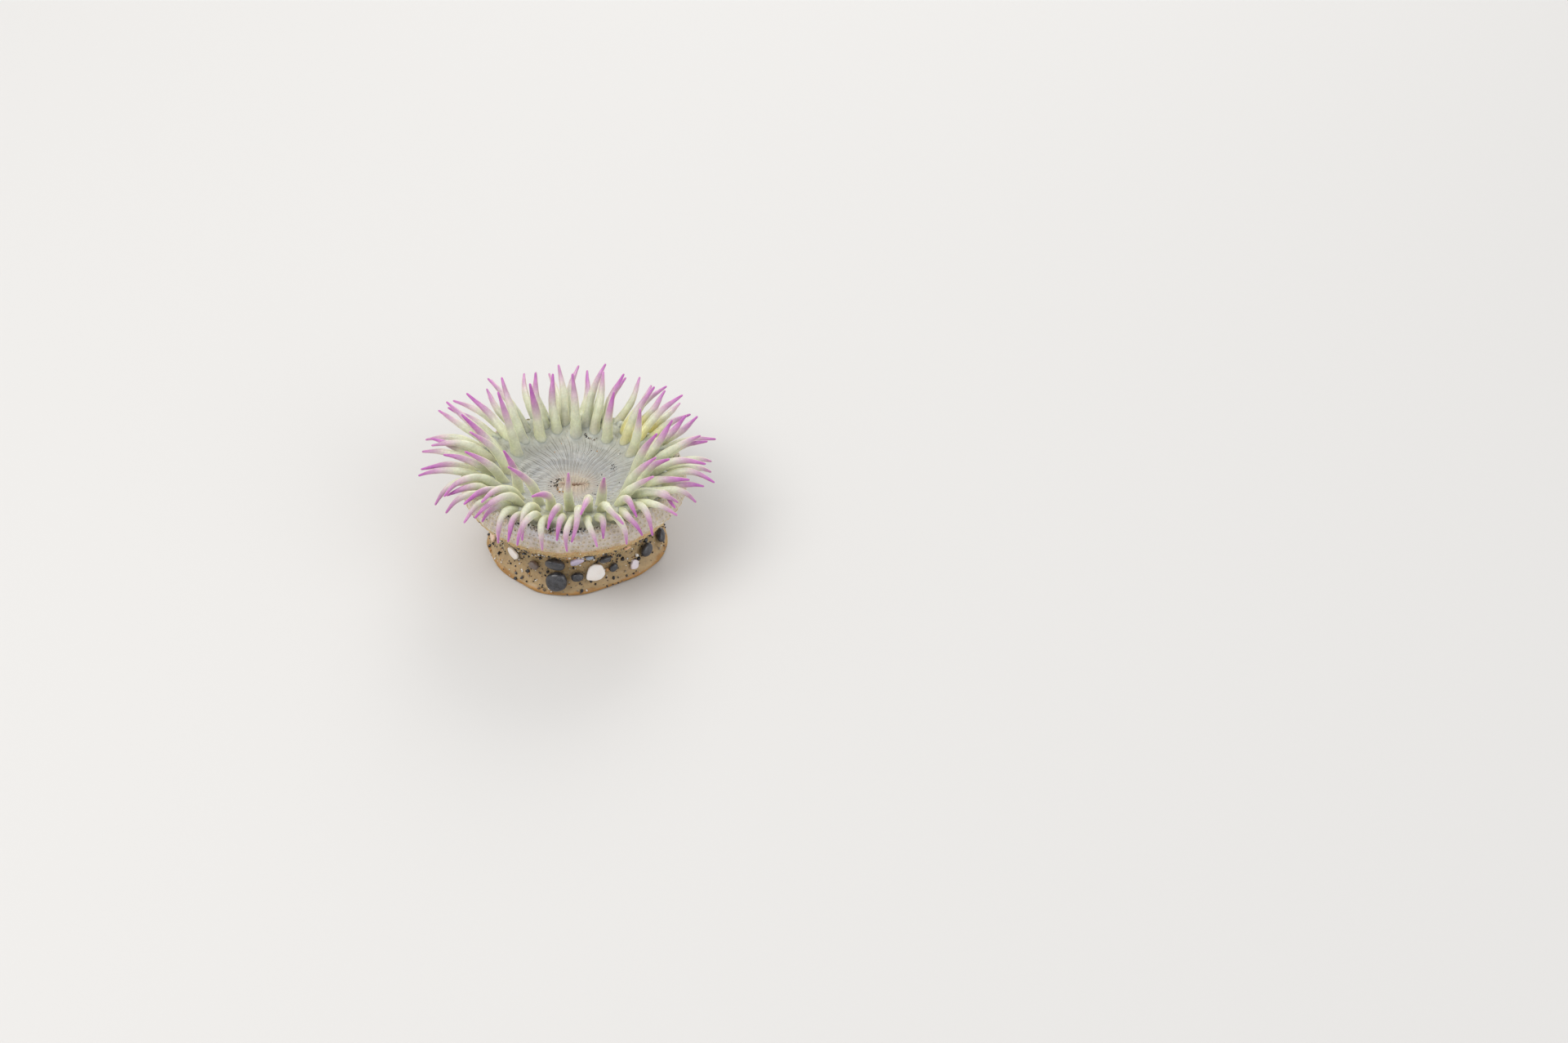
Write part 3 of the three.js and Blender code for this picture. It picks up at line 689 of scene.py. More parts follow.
def skin_material(name, sheen):
    """Wet flesh: the body's colours follow its reach from foot to throat, the tentacles' their length, fine
    paired lines run over the disc, and warts are straw-coloured rings round darker pits. sheen is the
    strength and roughness of the pale light along the edges."""
    skin = bpy.context.scene.anemone.skin
    recipe = Recipe(name)
    reach = recipe.value("reach")
    along = recipe.value("along")
    mottle = recipe.noise(260.0, 3.0)
    grain = recipe.noise(1500.0, 2.0)
    drift = recipe.math("MULTIPLY_ADD", mottle, 0.03, -0.015)
    stops = [
        # From the foot up to the amber edge the column is a darker brown, darkest under the foot and at the
        # waist: the column's own brown with painted shade under the bulge.
        (0.0, shade(skin.amber, 0.5)), (reach_at(1.8), shade(skin.amber, 0.7)),
        (reach_at(RIM), (0.42, 0.30, 0.16)), (reach_at(WAIST), (0.38, 0.26, 0.13)),
        (reach_at(LOWER), (0.45, 0.28, 0.12)), (reach_at(6.0), skin.amber), (reach_at(6.9), skin.amber),
        (reach_at(7.5), skin.column), (reach_at(SHOULDER), shade(skin.column, 1.02)),
        (reach_at(COLLAR), (0.60, 0.54, 0.47)), (reach_at(GROOVE), (0.58, 0.57, 0.45)),
        (reach_at(MARGIN), (0.56, 0.57, 0.44)), (reach_at(DISC_OUTER), (0.50, 0.50, 0.42)),
        (reach_at(DISC_MIDDLE), skin.disc), (reach_at(DISC_INNER), (0.39, 0.39, 0.385)),
        (reach_at(MOUTH_EDGE), (0.40, 0.38, 0.345)), (reach_at(LIP), skin.mouth),
        # Down the throat the colour falls from brown to near black: painted shade in the deep slit.
        (reach_at(THROAT), (0.26, 0.13, 0.08)), (1.0, (0.08, 0.035, 0.02)),
    ]
    body = recipe.ramp(recipe.math("ADD", reach, drift), stops)

    place = recipe.add("ShaderNodeSeparateXYZ", (recipe.place(),))
    angle = recipe.math("ARCTAN2", place.outputs["Y"], place.outputs["X"])
    swayed = recipe.math("ADD", angle, recipe.value("sway"))
    turns = recipe.math("MULTIPLY", swayed, SPOKES / (2 * math.pi))
    across = recipe.math("ABSOLUTE", recipe.math("SUBTRACT", recipe.math("FRACT", turns), 0.5))
    pair = recipe.math("ABSOLUTE", recipe.math("SUBTRACT", across, 0.33))
    inner, outer = reach_at(MOUTH_EDGE + 0.6), reach_at(MARGIN + 0.4)
    thin = recipe.fade(reach, outer, inner, 0.055, 0.12)
    line = recipe.fade(recipe.math("DIVIDE", pair, thin), 0.35, 1.0, 1.0, 0.0)
    on_disc = recipe.math("MULTIPLY", recipe.fade(reach, outer - 0.01, outer + 0.04),
                          recipe.fade(reach, inner, inner - 0.02))
    broken = recipe.fade(recipe.noise(420.0, 2.0), 0.3, 0.62, 0.35, 1.0)
    line = recipe.math("MULTIPLY", recipe.math("MULTIPLY", line, on_disc), broken)
    line = recipe.math("MULTIPLY", line, recipe.fade(recipe.value("root"), 0.15, 0.6, 1.0, 0.0))
    line_tint = recipe.mix(recipe.fade(reach, reach_at(MOUTH_EDGE - 0.45), reach_at(MOUTH_EDGE + 0.5)),
                           tuple(skin.line), tuple(skin.strand))
    body = recipe.mix(recipe.math("MULTIPLY", line, 0.55), body, line_tint)

    blush = recipe.math("ADD", along, recipe.value("blush"))
    blush = recipe.math("ADD", blush, recipe.math("MULTIPLY_ADD", mottle, 0.08, -0.04))
    stem = recipe.ramp(blush, [
        (0.0, (0.46, 0.46, 0.40)), (0.25, skin.stem), (0.5, (0.58, 0.59, 0.465)), (0.64, (0.54, 0.45, 0.46)),
        (0.78, skin.blush), (0.91, (0.46, 0.19, 0.43)), (1.0, skin.tip),
    ])
    yellow = recipe.math("MULTIPLY", recipe.value("warmth"), recipe.fade(along, 0.5, 0.1), clamp=True)
    stem = recipe.mix(yellow, stem, (0.76, 0.68, 0.24))
    body = recipe.mix(recipe.math("MULTIPLY", recipe.value("root"), 0.6), body, stem)
    tint = recipe.mix(recipe.fade(along, 0.0, 0.12), body, stem)
    tint = recipe.mix(recipe.value("rim"), tint, (0.62, 0.51, 0.27))
    tint = recipe.mix(recipe.value("pit"), tint, (0.40, 0.31, 0.20))
    tint = recipe.mix(recipe.value("pale"), tint, (0.80, 0.77, 0.80))
    tone = recipe.fade(grain, 0.25, 0.75, 0.93, 1.07)
    tone = recipe.math("MULTIPLY", tone, recipe.fade(mottle, 0.3, 0.7, 0.92, 1.06))
    tint = recipe.toned(tint, tone)
    height = recipe.math("MULTIPLY", grain, 0.35)
    height = recipe.math("SUBTRACT", height, recipe.math("MULTIPLY", line, 0.6))
    return recipe.finish(
        Base_Color=tint, Roughness=recipe.fade(mottle, 0.3, 0.7, 0.3, 0.45), IOR=1.36,
        Subsurface_Weight=0.5, Subsurface_Radius=(0.0018, 0.0014, 0.0011), Subsurface_Scale=1.0,
        Coat_Weight=0.1, Coat_Roughness=0.2, Sheen_Weight=sheen[0], Sheen_Roughness=sheen[1],
        Sheen_Tint=(*skin.rim, 1), Normal=recipe.bump(height, 0.5, 0.0001))


def body_material():
    return skin_material("anemone_skin", (0.4, 0.35))


def tentacle_material():
    return skin_material("tentacle_skin", (1.0, 0.4))


def grit_material():
    """Sand: each grain has one shade, from black basalt through brown to white quartz. A few are amber."""
    recipe = Recipe("beach_grit")
    tint = recipe.ramp(recipe.value("shade"), [
        (0.0, (0.010, 0.010, 0.013)), (0.42, (0.035, 0.033, 0.036)), (0.52, (0.13, 0.09, 0.06)),
        (0.62, (0.30, 0.24, 0.17)), (0.74, (0.72, 0.70, 0.66)), (0.94, (0.50, 0.26, 0.09)),
    ], "CONSTANT")
    speck = recipe.fade(recipe.noise(2600.0, 2.0), 0.3, 0.7, 0.75, 1.2)
    tint = recipe.toned(tint, speck)
    return recipe.finish(Base_Color=tint, Roughness=0.35, Coat_Weight=0.4, Coat_Roughness=0.1)


def pebble_material():
    """Wet dark beach stone: near black with fine grey flecks and paler worn patches, some stones browner."""
    recipe = Recipe("wet_pebble")
    tone = recipe.ramp(recipe.value("shade"), [
        (0.0, (0.012, 0.012, 0.015)), (0.55, (0.024, 0.025, 0.030)), (0.8, (0.055, 0.050, 0.048)),
        (1.0, (0.16, 0.11, 0.08)),
    ])
    fleck = recipe.fade(recipe.noise(5200.0, 3.0), 0.54, 0.68)
    cloud = recipe.fade(recipe.noise(700.0, 3.0), 0.35, 0.7)
    tone = recipe.mix(recipe.math("MULTIPLY", cloud, 0.35), tone, (0.10, 0.10, 0.115))
    tone = recipe.mix(recipe.math("MULTIPLY", fleck, 0.3), tone, (0.20, 0.20, 0.21))
    bump = recipe.bump(recipe.noise(1800.0, 4.0), 0.35, 0.0002)
    return recipe.finish(Base_Color=tone, Roughness=recipe.fade(cloud, 0.0, 1.0, 0.3, 0.5), Coat_Weight=0.5,
                         Coat_Roughness=0.12, Normal=bump)


def shell_material():
    """Broken shell: chalky white to lilac and peach, with fine growth lines and a pearly coat."""
    recipe = Recipe("broken_shell")
    tone = recipe.ramp(recipe.value("shade"), [
        (0.0, (0.87, 0.83, 0.79)), (0.3, (0.84, 0.78, 0.72)), (0.5, (0.62, 0.55, 0.72)),
        (0.7, (0.27, 0.34, 0.45)), (0.85, (0.75, 0.45, 0.25)), (1.0, (0.80, 0.62, 0.48)),
    ])
    growth = recipe.add("ShaderNodeMath", (recipe.math("MULTIPLY", recipe.value("growth"), 75.0),),
                        operation="SINE").outputs[0]
    growth = recipe.fade(growth, 0.2, 1.0)
    stain = recipe.fade(recipe.noise(500.0, 3.0), 0.45, 0.75)
    tone = recipe.mix(recipe.math("MULTIPLY", growth, 0.06), tone, (0.60, 0.50, 0.44))
    tone = recipe.mix(recipe.math("MULTIPLY", stain, 0.25), tone, (0.78, 0.64, 0.50))
    height = recipe.math("MULTIPLY_ADD", growth, 0.35, recipe.noise(1500.0, 3.0))
    bump = recipe.bump(height, 0.3, 0.00012)
    return recipe.finish(Base_Color=tone, Roughness=0.38, Subsurface_Weight=0.15,
                         Subsurface_Radius=(0.0008, 0.0006, 0.0005), Subsurface_Scale=1.0,
                         Coat_Weight=0.4, Coat_Roughness=0.15, Normal=bump)


def shared_material(name, maker):
    return bpy.data.materials.get(name) or maker()


# ---------------------------------------------------------------------------------------------------------
# Pieces
# ---------------------------------------------------------------------------------------------------------

def body_grid(skin):
    """Angles and reaches of the body's closed grid. Its rows are closer together where tentacles grow."""
    under = reach_at(1) * np.array([0.35, 0.65, 0.85, 0.96])
    fine = np.linspace(reach_at(1), 1, 2000)
    crowding = np.cumsum(1 + 1.6 * window(fine, reach_at(11.5), reach_at(15), 0.01))
    even = np.linspace(crowding[0], crowding[-1], skin.rows + 1)[:-1]
    reach = np.concatenate([under, np.interp(even, crowding, fine)])
    angle = 2 * math.pi * np.arange(skin.around) / skin.around
    grid_reach, grid_angle = np.meshgrid(reach, angle, indexing="ij")
    return grid_angle, grid_reach


def bake_map(angle_count, reach, tentacles, shares, sides):
    """Map places for each face corner: the body's grid fills the lower part by angle and reach, and each
    tentacle is a strip of its own in the upper part."""
    body_top, margin, columns = 0.46, 0.004, 24
    rows = len(reach)
    u = margin + (1 - 2 * margin) * np.arange(angle_count + 1) / angle_count
    v = margin + (body_top - 2 * margin) * np.concatenate([[0], reach, [1]])
    left, right = u[:-1], u[1:]

    def at(across, level):
        return np.stack([across, np.full_like(across, level)], -1)

    def quads(low, high):
        return np.stack([at(left, low), at(right, low), at(right, high), at(left, high)], 1)

    body = np.stack([quads(v[row + 1], v[row + 2]) for row in range(rows - 1)]).reshape(-1, 2)
    middle = (left + right) / 2
    pole = []
    for centre, edge, flip in ((v[0], v[1], True), (v[-1], v[-2], False)):
        corners = np.stack([at(middle, centre), at(left, edge), at(right, edge)], 1)
        pole.append((corners[:, ::-1] if flip else corners).reshape(-1, 2))
    strip_rows = math.ceil(tentacles / columns)
    width, height = 1 / columns, (1 - body_top) / strip_rows
    side = (np.arange(sides + 1) / sides) * (width - margin)
    steps = np.concatenate([shares[:-4] * 0.94, 0.94 + 0.05 * np.arange(1, 5) / 5]) * (height - margin)
    lower, upper = steps[:-1], steps[1:]
    strip = np.zeros((len(steps) - 1, sides, 4, 2))
    strip[..., 0] = np.stack([side[:-1], side[1:], side[1:], side[:-1]], -1)[None]
    strip[..., 1] = np.stack([lower, lower, upper, upper], -1)[:, None]
    cap = np.zeros((sides, 3, 2))
    cap[..., 0] = np.stack([(side[:-1] + side[1:]) / 2, side[:-1], side[1:]], -1)
    cap[..., 1] = np.array([height - margin, steps[-1], steps[-1]])
    base = np.zeros((sides, 3, 2))
    base[..., 0] = np.stack([side[1:], side[:-1], (side[:-1] + side[1:]) / 2], -1)
    base[..., 1] = np.array([steps[0], steps[0], steps[0] - 0.3 * margin])
    number = np.arange(tentacles)
    corner = np.stack([(number % columns) * width, body_top + (number // columns) * height + margin / 2], -1)
    spread = [(shape.reshape(1, -1, 2) + corner[:, None]).reshape(-1, 2) for shape in (strip, cap, base)]
    return [body, *pole, *spread]


class ANEMONE_OT_skin(bpy.types.Operator):
    """Makes the one skin of the body and all tentacles, in place of the solids of flesh"""

    bl_idname = "anemone.skin"
    bl_label = "Skin"

    def execute(self, context):
        skin = context.scene.anemone.skin
        angle, reach = body_grid(skin)
        body = bend(upright_skin(angle, reach, roots=True)).reshape(-1, 3)
        poles = skin_point(np.zeros(2), np.array([0.0, 1.0]))
        rows, around = angle.shape
        size = rows * around
        tubes, points, shares = tentacle_surface(skin.rings, skin.sides, skin.flare)
        tentacles, rings, sides = tubes.shape[:3]
        roots = tubes[:, 0].mean(axis=1)
        tubes = tubes.reshape(tentacles, -1, 3)
        tube_points = np.concatenate([tubes, points[:, None], roots[:, None]], axis=1)
        per = rings * sides + 2
        foot = fan_faces(size, np.arange(around), True)
        throat = fan_faces(size + 1, np.arange(around) + size - around)
        faces = [grid_faces(rows, around), foot, throat]
        body_faces = sum(len(group) for group in faces)
        faces += closed_faces(rings, sides, tentacles, first=size + 2)

        _, _, facts = settled_tentacles()
        index, root_angle, cycle = facts.T
        root_radius = np.hypot(*lay_tentacles()[0][:, 0, :2].T)
        root_point = np.interp(root_radius, DISC_RADII, DISC_POINTS)
        upright = upright_skin(angle, reach)
        radius = np.hypot(upright[..., 0], upright[..., 1])

        def everywhere(body_value, pole_value, tube_value):
            body_value = np.broadcast_to(body_value, angle.shape)
            tube_value = np.broadcast_to(tube_value, (tentacles, per))
            return np.concatenate([body_value.ravel(), pole_value, tube_value.ravel()])

        cycle = cycle.astype(int)
        along = np.concatenate([np.repeat(shares, sides), [1.0, 0.0]])[None]
        blush = 0.13 * variation(index, 21) + np.array([0.02, 0.0, 0.02, 0.04])[cycle]
        yellow = np.exp(-((root_angle - YELLOW_ANGLE) / 0.2) ** 2) * np.array([0.1, 0.5, 1.0, 0.9])[cycle]
        front = (1 - np.sin(root_angle)) / 2
        warmth = np.clip(yellow + 0.12 * variation(index, 22) + 0.04 + 0.12 * front, 0, 1)
        values = {
            "reach": everywhere(reach, [0, 1], reach_at(root_point)[:, None]),
            "along": everywhere(0.0, [0, 0], along),
            "sway": everywhere(sway(angle, radius), [0, 0], 0.0),
            "blush": everywhere(0.0, [0, 0], blush[:, None]),
            "pale": everywhere(pale_patches(angle, reach), [0, 0], 0.0),
            "root": everywhere(crown_roots(angle, reach), [0, 0], 1.0),
            "warmth": everywhere(0.0, [0, 0], warmth[:, None]),
        }
        maps = np.concatenate(bake_map(around, reach[:, 0], tentacles, shares, sides))
        everything = np.concatenate([body, poles, tube_points.reshape(-1, 3)])
        piece = new_piece("anemone_skin", everything, faces, values, maps)
        piece.data.materials.append(shared_material("anemone_skin", body_material))
        piece.data.materials.append(shared_material("tentacle_skin", tentacle_material))
        on_tentacle = np.arange(len(piece.data.polygons)) >= body_faces
        piece.data.polygons.foreach_set("material_index", on_tentacle.astype(np.int32))
        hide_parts(*FLESH_NODES)
        return {"FINISHED"}


def pale_patches(angle, reach):
    """How chalky the skin is: full in ragged patches just below the collar, in the middle of the front."""
    front = np.exp(-((np.mod(angle, 2 * math.pi) - math.radians(262)) / 0.42) ** 2)
    ragged = 0.5 + 0.5 * ripple(angle, 30 * reach, 17, 9)
    return front * window(reach, reach_at(8.4), reach_at(10.6), 0.02) * step_up(ragged, 0.15, 0.6)


def wart_places(spacing):
    """Staggered rows of warts up the column: each row is nearly one spacing further along the outline, and
    its warts stand one spacing apart round it, with a little unevenness."""
    points, _, reaches, _, total = smooth_outline()
    low, high = reach_at(3.3), reach_at(COLLAR + 0.1)
    rows = int((high - low) * total / (0.9 * spacing))
    angle, reach, level = [], [], []
    for row in range(rows + 1):
        at = low + (high - low) * row / rows
        count = round(2 * math.pi * np.interp(at, reaches, points[:, 0]) / spacing)
        number = np.arange(count)
        place = number + 0.5 * (row % 2) + 0.16 * variation(number + 97 * row, 1)
        angle.append(2 * math.pi * place / count)
        reach.append(at + 0.14 * spacing / total * variation(number + 53 * row, 2))
        level.append(np.full(count, step_up(row / rows, 0.1, 1)))
    return np.concatenate(angle), np.concatenate(reach), np.concatenate(level)


class ANEMONE_OT_warts(bpy.types.Operator):
    """Makes the column's cup-shaped warts as one joined mesh"""

    bl_idname = "anemone.warts"
    bl_label = "Warts"

    # Share of the radius, height as a share of the wart's, how much is straw rim, and how much is dark pit.
    CUP = np.array([
        [0.0, 0.1, 0.0, 1.0], [0.42, 0.2, 0.0, 0.9], [0.54, 1.0, 1.0, 0.1], [0.67, 0.75, 0.5, 0.0],
        [0.98, -0.3, 0.0, 0.0],
    ])

    def execute(self, context):
        warts = context.scene.anemone.warts
        angle, reach, level = wart_places(warts.spacing)
        here, side, up, out = skin_frame(angle, reach)
        number = np.arange(len(angle))
        radius = warts.radius * (0.62 + 0.4 * level + 0.12 * variation(number, 3))
        height = warts.height * (0.6 + 0.7 * level ** 2 + 0.3 * variation(number, 4))
        turn = 2 * math.pi * np.arange(warts.sides) / warts.sides
        oval = 1 + 0.1 * variation(number, 5)[:, None] * np.cos(2 * turn + 6 * variation(number, 6)[:, None])
        rings = []
        for share, rise, _, _ in self.CUP[1:]:
            reach_out = (share * radius)[:, None] * oval
            rings.append(here[:, None] + (reach_out * np.cos(turn))[..., None] * side[:, None]
                         + (reach_out * np.sin(turn))[..., None] * up[:, None]
                         + (rise * height)[:, None, None] * out[:, None])
        centre = here + (self.CUP[0, 1] * height)[:, None] * out
        points = np.concatenate([centre[:, None], np.concatenate(rings, axis=1)], axis=1)
        sides, per = warts.sides, points.shape[1]
        cup = repeat_faces(grid_faces(len(rings), sides, first=1)[:, ::-1], len(angle), per)
        pit = repeat_faces(fan_faces(0, 1 + np.arange(sides)), len(angle), per)
        one_each = [1] + [sides] * len(rings)
        rim = np.repeat(self.CUP[:, 2], one_each) * (0.3 + 0.5 * step_up(level, 0.3, 0.7))[:, None]
        dark = np.repeat(self.CUP[:, 3], one_each) * (0.3 + 0.3 * step_up(level, 0.2, 0.6))[:, None]
        values = {
            "reach": np.broadcast_to(reach[:, None], (len(angle), per)),
            "rim": rim, "pit": dark,
            "pale": pale_patches(angle, reach)[:, None] * (1 - dark),
        }
        piece = new_piece("column_warts", points, [cup, pit], values)
        piece.data.materials.append(shared_material("anemone_skin", body_material))
        return {"FINISHED"}


class ANEMONE_OT_collar_beads(bpy.types.Operator):
    """Makes the pale stinging beads that sit in the groove behind the collar"""

    bl_idname = "anemone.collar_beads"
    bl_label = "Collar beads"

    def execute(self, context):
        count = context.scene.anemone.warts.beads
        number = np.arange(count)
        angle = 2 * math.pi * (number + 0.2 * variation(number, 8)) / count
        here, side, up, out = skin_frame(angle, np.full(count, reach_at(GROOVE)))
        radius = 0.66 + 0.16 * variation(number, 9)
        rise = 0.75 + 0.2 * variation(number, 10)
        sides, rings = 12, 7
        turn = 2 * math.pi * np.arange(sides) / sides
        arc = np.linspace(-0.35, 1, rings + 1)[:-1] * math.pi / 2
        ring = here[:, None, None] + (np.cos(arc)[:, None] * radius[:, None, None])[..., None] * (
            np.cos(turn)[:, None] * side[:, None, None] + np.sin(turn)[:, None] * up[:, None, None])
        ring = ring + (np.sin(arc) * rise[:, None])[..., None, None] * out[:, None, None]
        top = here + rise[:, None] * out
        bottom = here - 0.3 * out
        points = np.concatenate([ring.reshape(count, -1, 3), top[:, None], bottom[:, None]], axis=1)
        size = points.shape[0] * points.shape[1]
        values = {"reach": np.full(size, reach_at(GROOVE)), "pale": np.full(size, 0.8)}
        piece = new_piece("collar_beads", points, closed_faces(rings, sides, count), values)
        piece.data.materials.append(shared_material("anemone_skin", body_material))
        return {"FINISHED"}


def scatter_grit(rng):
    """Angles, reaches, sizes and shades of the sand grains. Some lie in clouds, an arc of them runs round
    one tentacle's root, and most are spread over the disc, the column and the sandy foot."""
    # (how many, angle and its spread in degrees, outline point and its spread, size, range of shades)
    clouds = [
        (120, 256, 10, 9.9, 0.25, 0.9, 0, 0.94), (90, 268, 6, 9.8, 0.22, 0.9, 0, 0.94),
        (40, 238, 4, 9.8, 0.2, 0.9, 0, 0.94), (30, 283, 4, 10.1, 0.2, 0.9, 0, 0.94),
        (130, 166, 17, 16.4, 0.2, 0.72, 0, 0.92), (2, 216, 3, 16.5, 0.05, 3.0, 0.76, 0.9),
        (14, 213, 8, 16.45, 0.16, 0.9, 0.95, 1), (14, 300, 3.5, 13.2, 0.25, 0.7, 0, 1),
        (16, 35, 5, 14.0, 0.12, 0.6, 0, 1), (12, 28, 3, 14.7, 0.08, 0.6, 0, 1),
        (10, 172, 9, 14.6, 0.3, 0.6, 0, 1),
    ]
    # (how many, lowest and highest outline point, size)
    spreads = [
        (55, 13.2, 15.9, 0.55), (90, 6.6, 9.5, 0.7), (1300, 1.7, 5.8, 0.9), (220, 1.7, 5.8, 1.8),
    ]
    grains = []
    for count, middle, spread, point, blur, size, low, high in clouds:
        angle = np.radians(rng.normal(middle, spread, count))
        grains.append([angle, reach_at(rng.normal(point, blur, count)), np.full(count, size),
                       rng.uniform(low, high, count)])
    turn, away = rng.uniform(math.radians(185), math.radians(345), 80), rng.normal(2.5, 0.2, 80)
    x, y = 5.4 + away * np.cos(turn), 20.2 + away * np.sin(turn)
    point = np.interp(np.hypot(x, y), DISC_RADII, DISC_POINTS)
    grains.append([np.arctan2(y, x), reach_at(point), np.full(80, 0.75), rng.uniform(0, 0.93, 80)])
    for count, low, high, size in spreads:
        grains.append([rng.uniform(0, 2 * math.pi, count), rng.uniform(reach_at(low), reach_at(high), count),
                       np.full(count, size), rng.uniform(0, 1, count)])
    return np.concatenate(grains, axis=1)


def icosahedron():
    """The twelve corners of three golden rectangles at right angles, brought to radius 1, and the twenty
    triangles of corners that are nearest neighbours, each turned to face outward."""
    golden = (1 + math.sqrt(5)) / 2
    signs = [(one, other) for other in (1, -1) for one in (1, -1)]
    corners = [(0, one, golden * other) for one, other in signs]
    corners += [(one, golden * other, 0) for one, other in signs]
    corners += [(golden * one, 0, other) for one, other in signs]
    corners = unit(np.array(corners, float))
    near = np.linalg.norm(corners[:, None] - corners, axis=-1) < 1.1
    sides = np.array([trio for trio in combinations(range(12), 3) if near[np.ix_(trio, trio)].all()])
    inward = np.linalg.det(corners[sides]) < 0
    sides[inward] = sides[inward][:, ::-1]
    return corners, sides


class ANEMONE_OT_grit(bpy.types.Operator):
    """Makes the sand grains that the animal has caught, as one joined mesh"""

    bl_idname = "anemone.grit"
    bl_label = "Grit"

    def execute(self, context):
        grit = context.scene.anemone.grit
        rng = np.random.default_rng(grit.seed)
        angle, reach, scale, shade = scatter_grit(rng)
        count = len(angle)
        here, side, up, out = skin_frame(angle, reach)
        corners, sides = icosahedron()
        size = rng.uniform(grit.smallest, grit.largest, (count, 1)) * scale[:, None]
        size = size * rng.uniform(0.6, 1.2, (count, 3))
        local = corners[None] * (size[:, None] * rng.uniform(0.78, 1.1, (count, 12, 1)))
        axes = unit(rng.normal(size=(count, 3)))
        second = unit(np.cross(axes, rng.normal(size=(count, 3))))
        turned = local[..., :1] * axes[:, None] + local[..., 1:2] * second[:, None] \
            + local[..., 2:] * np.cross(axes, second)[:, None]
        points = here[:, None] + 0.45 * size.mean(axis=1)[:, None, None] * out[:, None] + turned
        points[..., 2] = np.maximum(points[..., 2], 0.01)
        values = {"shade": np.repeat(shade, 12)}
        piece = new_piece("caught_grit", points, [repeat_faces(sides, count, 12)], values, smooth=False)
        piece.data.materials.append(shared_material("beach_grit", grit_material))
        return {"FINISHED"}


STUCK_GAP = 0.05  # between a held piece and the wall


def stick(points, angle, height, turn):
    """Lays a piece's points, modelled flat in XY, against the wall as the solids lie: turned in its plane,
    tilted with the wall, and moved in or out until its nearest point is STUCK_GAP from the wall."""
    slope = math.atan2(wall_radius(height + 2) - wall_radius(height - 2), 4)
    cos, sin = math.cos(math.radians(turn)), math.sin(math.radians(turn))
    x, y, z = points.T
    x, y = cos * x - sin * y, sin * x + cos * y
    tilt = math.pi / 2 + slope
    y, z = math.cos(tilt) * y - math.sin(tilt) * z, math.sin(tilt) * y + math.cos(tilt) * z
    y, z = y - wall_radius(height), z + height
    wanted = wall_radius(z) + STUCK_GAP
    y = y - np.max(np.sqrt(np.maximum(wanted ** 2 - x ** 2, 0)) + y)
    heading = math.radians(angle + 90)
    x, y = math.cos(heading) * x - math.sin(heading) * y, math.sin(heading) * x + math.cos(heading) * y
    return bend(np.stack([x, y, z], -1))


class ANEMONE_OT_pebbles(bpy.types.Operator):
    """Makes the pebbles that the lower column holds, in place of their solids"""

    bl_idname = "anemone.pebbles"
    bl_label = "Pebbles"

    # From black to brown, one for each of PEBBLES.
    SHADES = [0.3, 0.1, 0.2, 0.0, 0.35, 0.05, 1.0, 0.55, 0.4, 0.75, 0.15, 0.9]

    def execute(self, context):
        rings, sides = 15, 24
        polar = math.pi * np.arange(1, rings + 1) / (rings + 1)
        turn = 2 * math.pi * np.arange(sides) / sides
        north, east = np.meshgrid(polar, turn, indexing="ij")
        ball = np.stack([np.sin(north) * np.cos(east), np.sin(north) * np.sin(east), np.cos(north)], -1)
        ball = np.concatenate([ball.reshape(-1, 3), [[0, 0, 1.0], [0, 0, -1.0]]])
        points = []
        for number, (angle, height, size, tilt) in enumerate(PEBBLES):
            waves = np.random.default_rng(40 + number).uniform(-3, 3, (6, 4))
            bumps = sum(np.sin(ball @ wave[:3] + wave[3]) for wave in waves) / 6
            boxed = np.sign(ball) * np.abs(ball) ** 0.86
            shape = boxed * (0.97 + 0.10 * bumps)[:, None] * np.array(size) / 2
            points.append(stick(shape, angle, height, tilt))
        faces = closed_faces(rings, sides, len(PEBBLES), downward=True)
        values = {"shade": np.repeat(self.SHADES, len(ball))}
        piece = new_piece("held_pebbles", np.concatenate(points), faces, values)
        piece.data.materials.append(shared_material("wet_pebble", pebble_material))
        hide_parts(*PEBBLE_NODES)
        return {"FINISHED"}


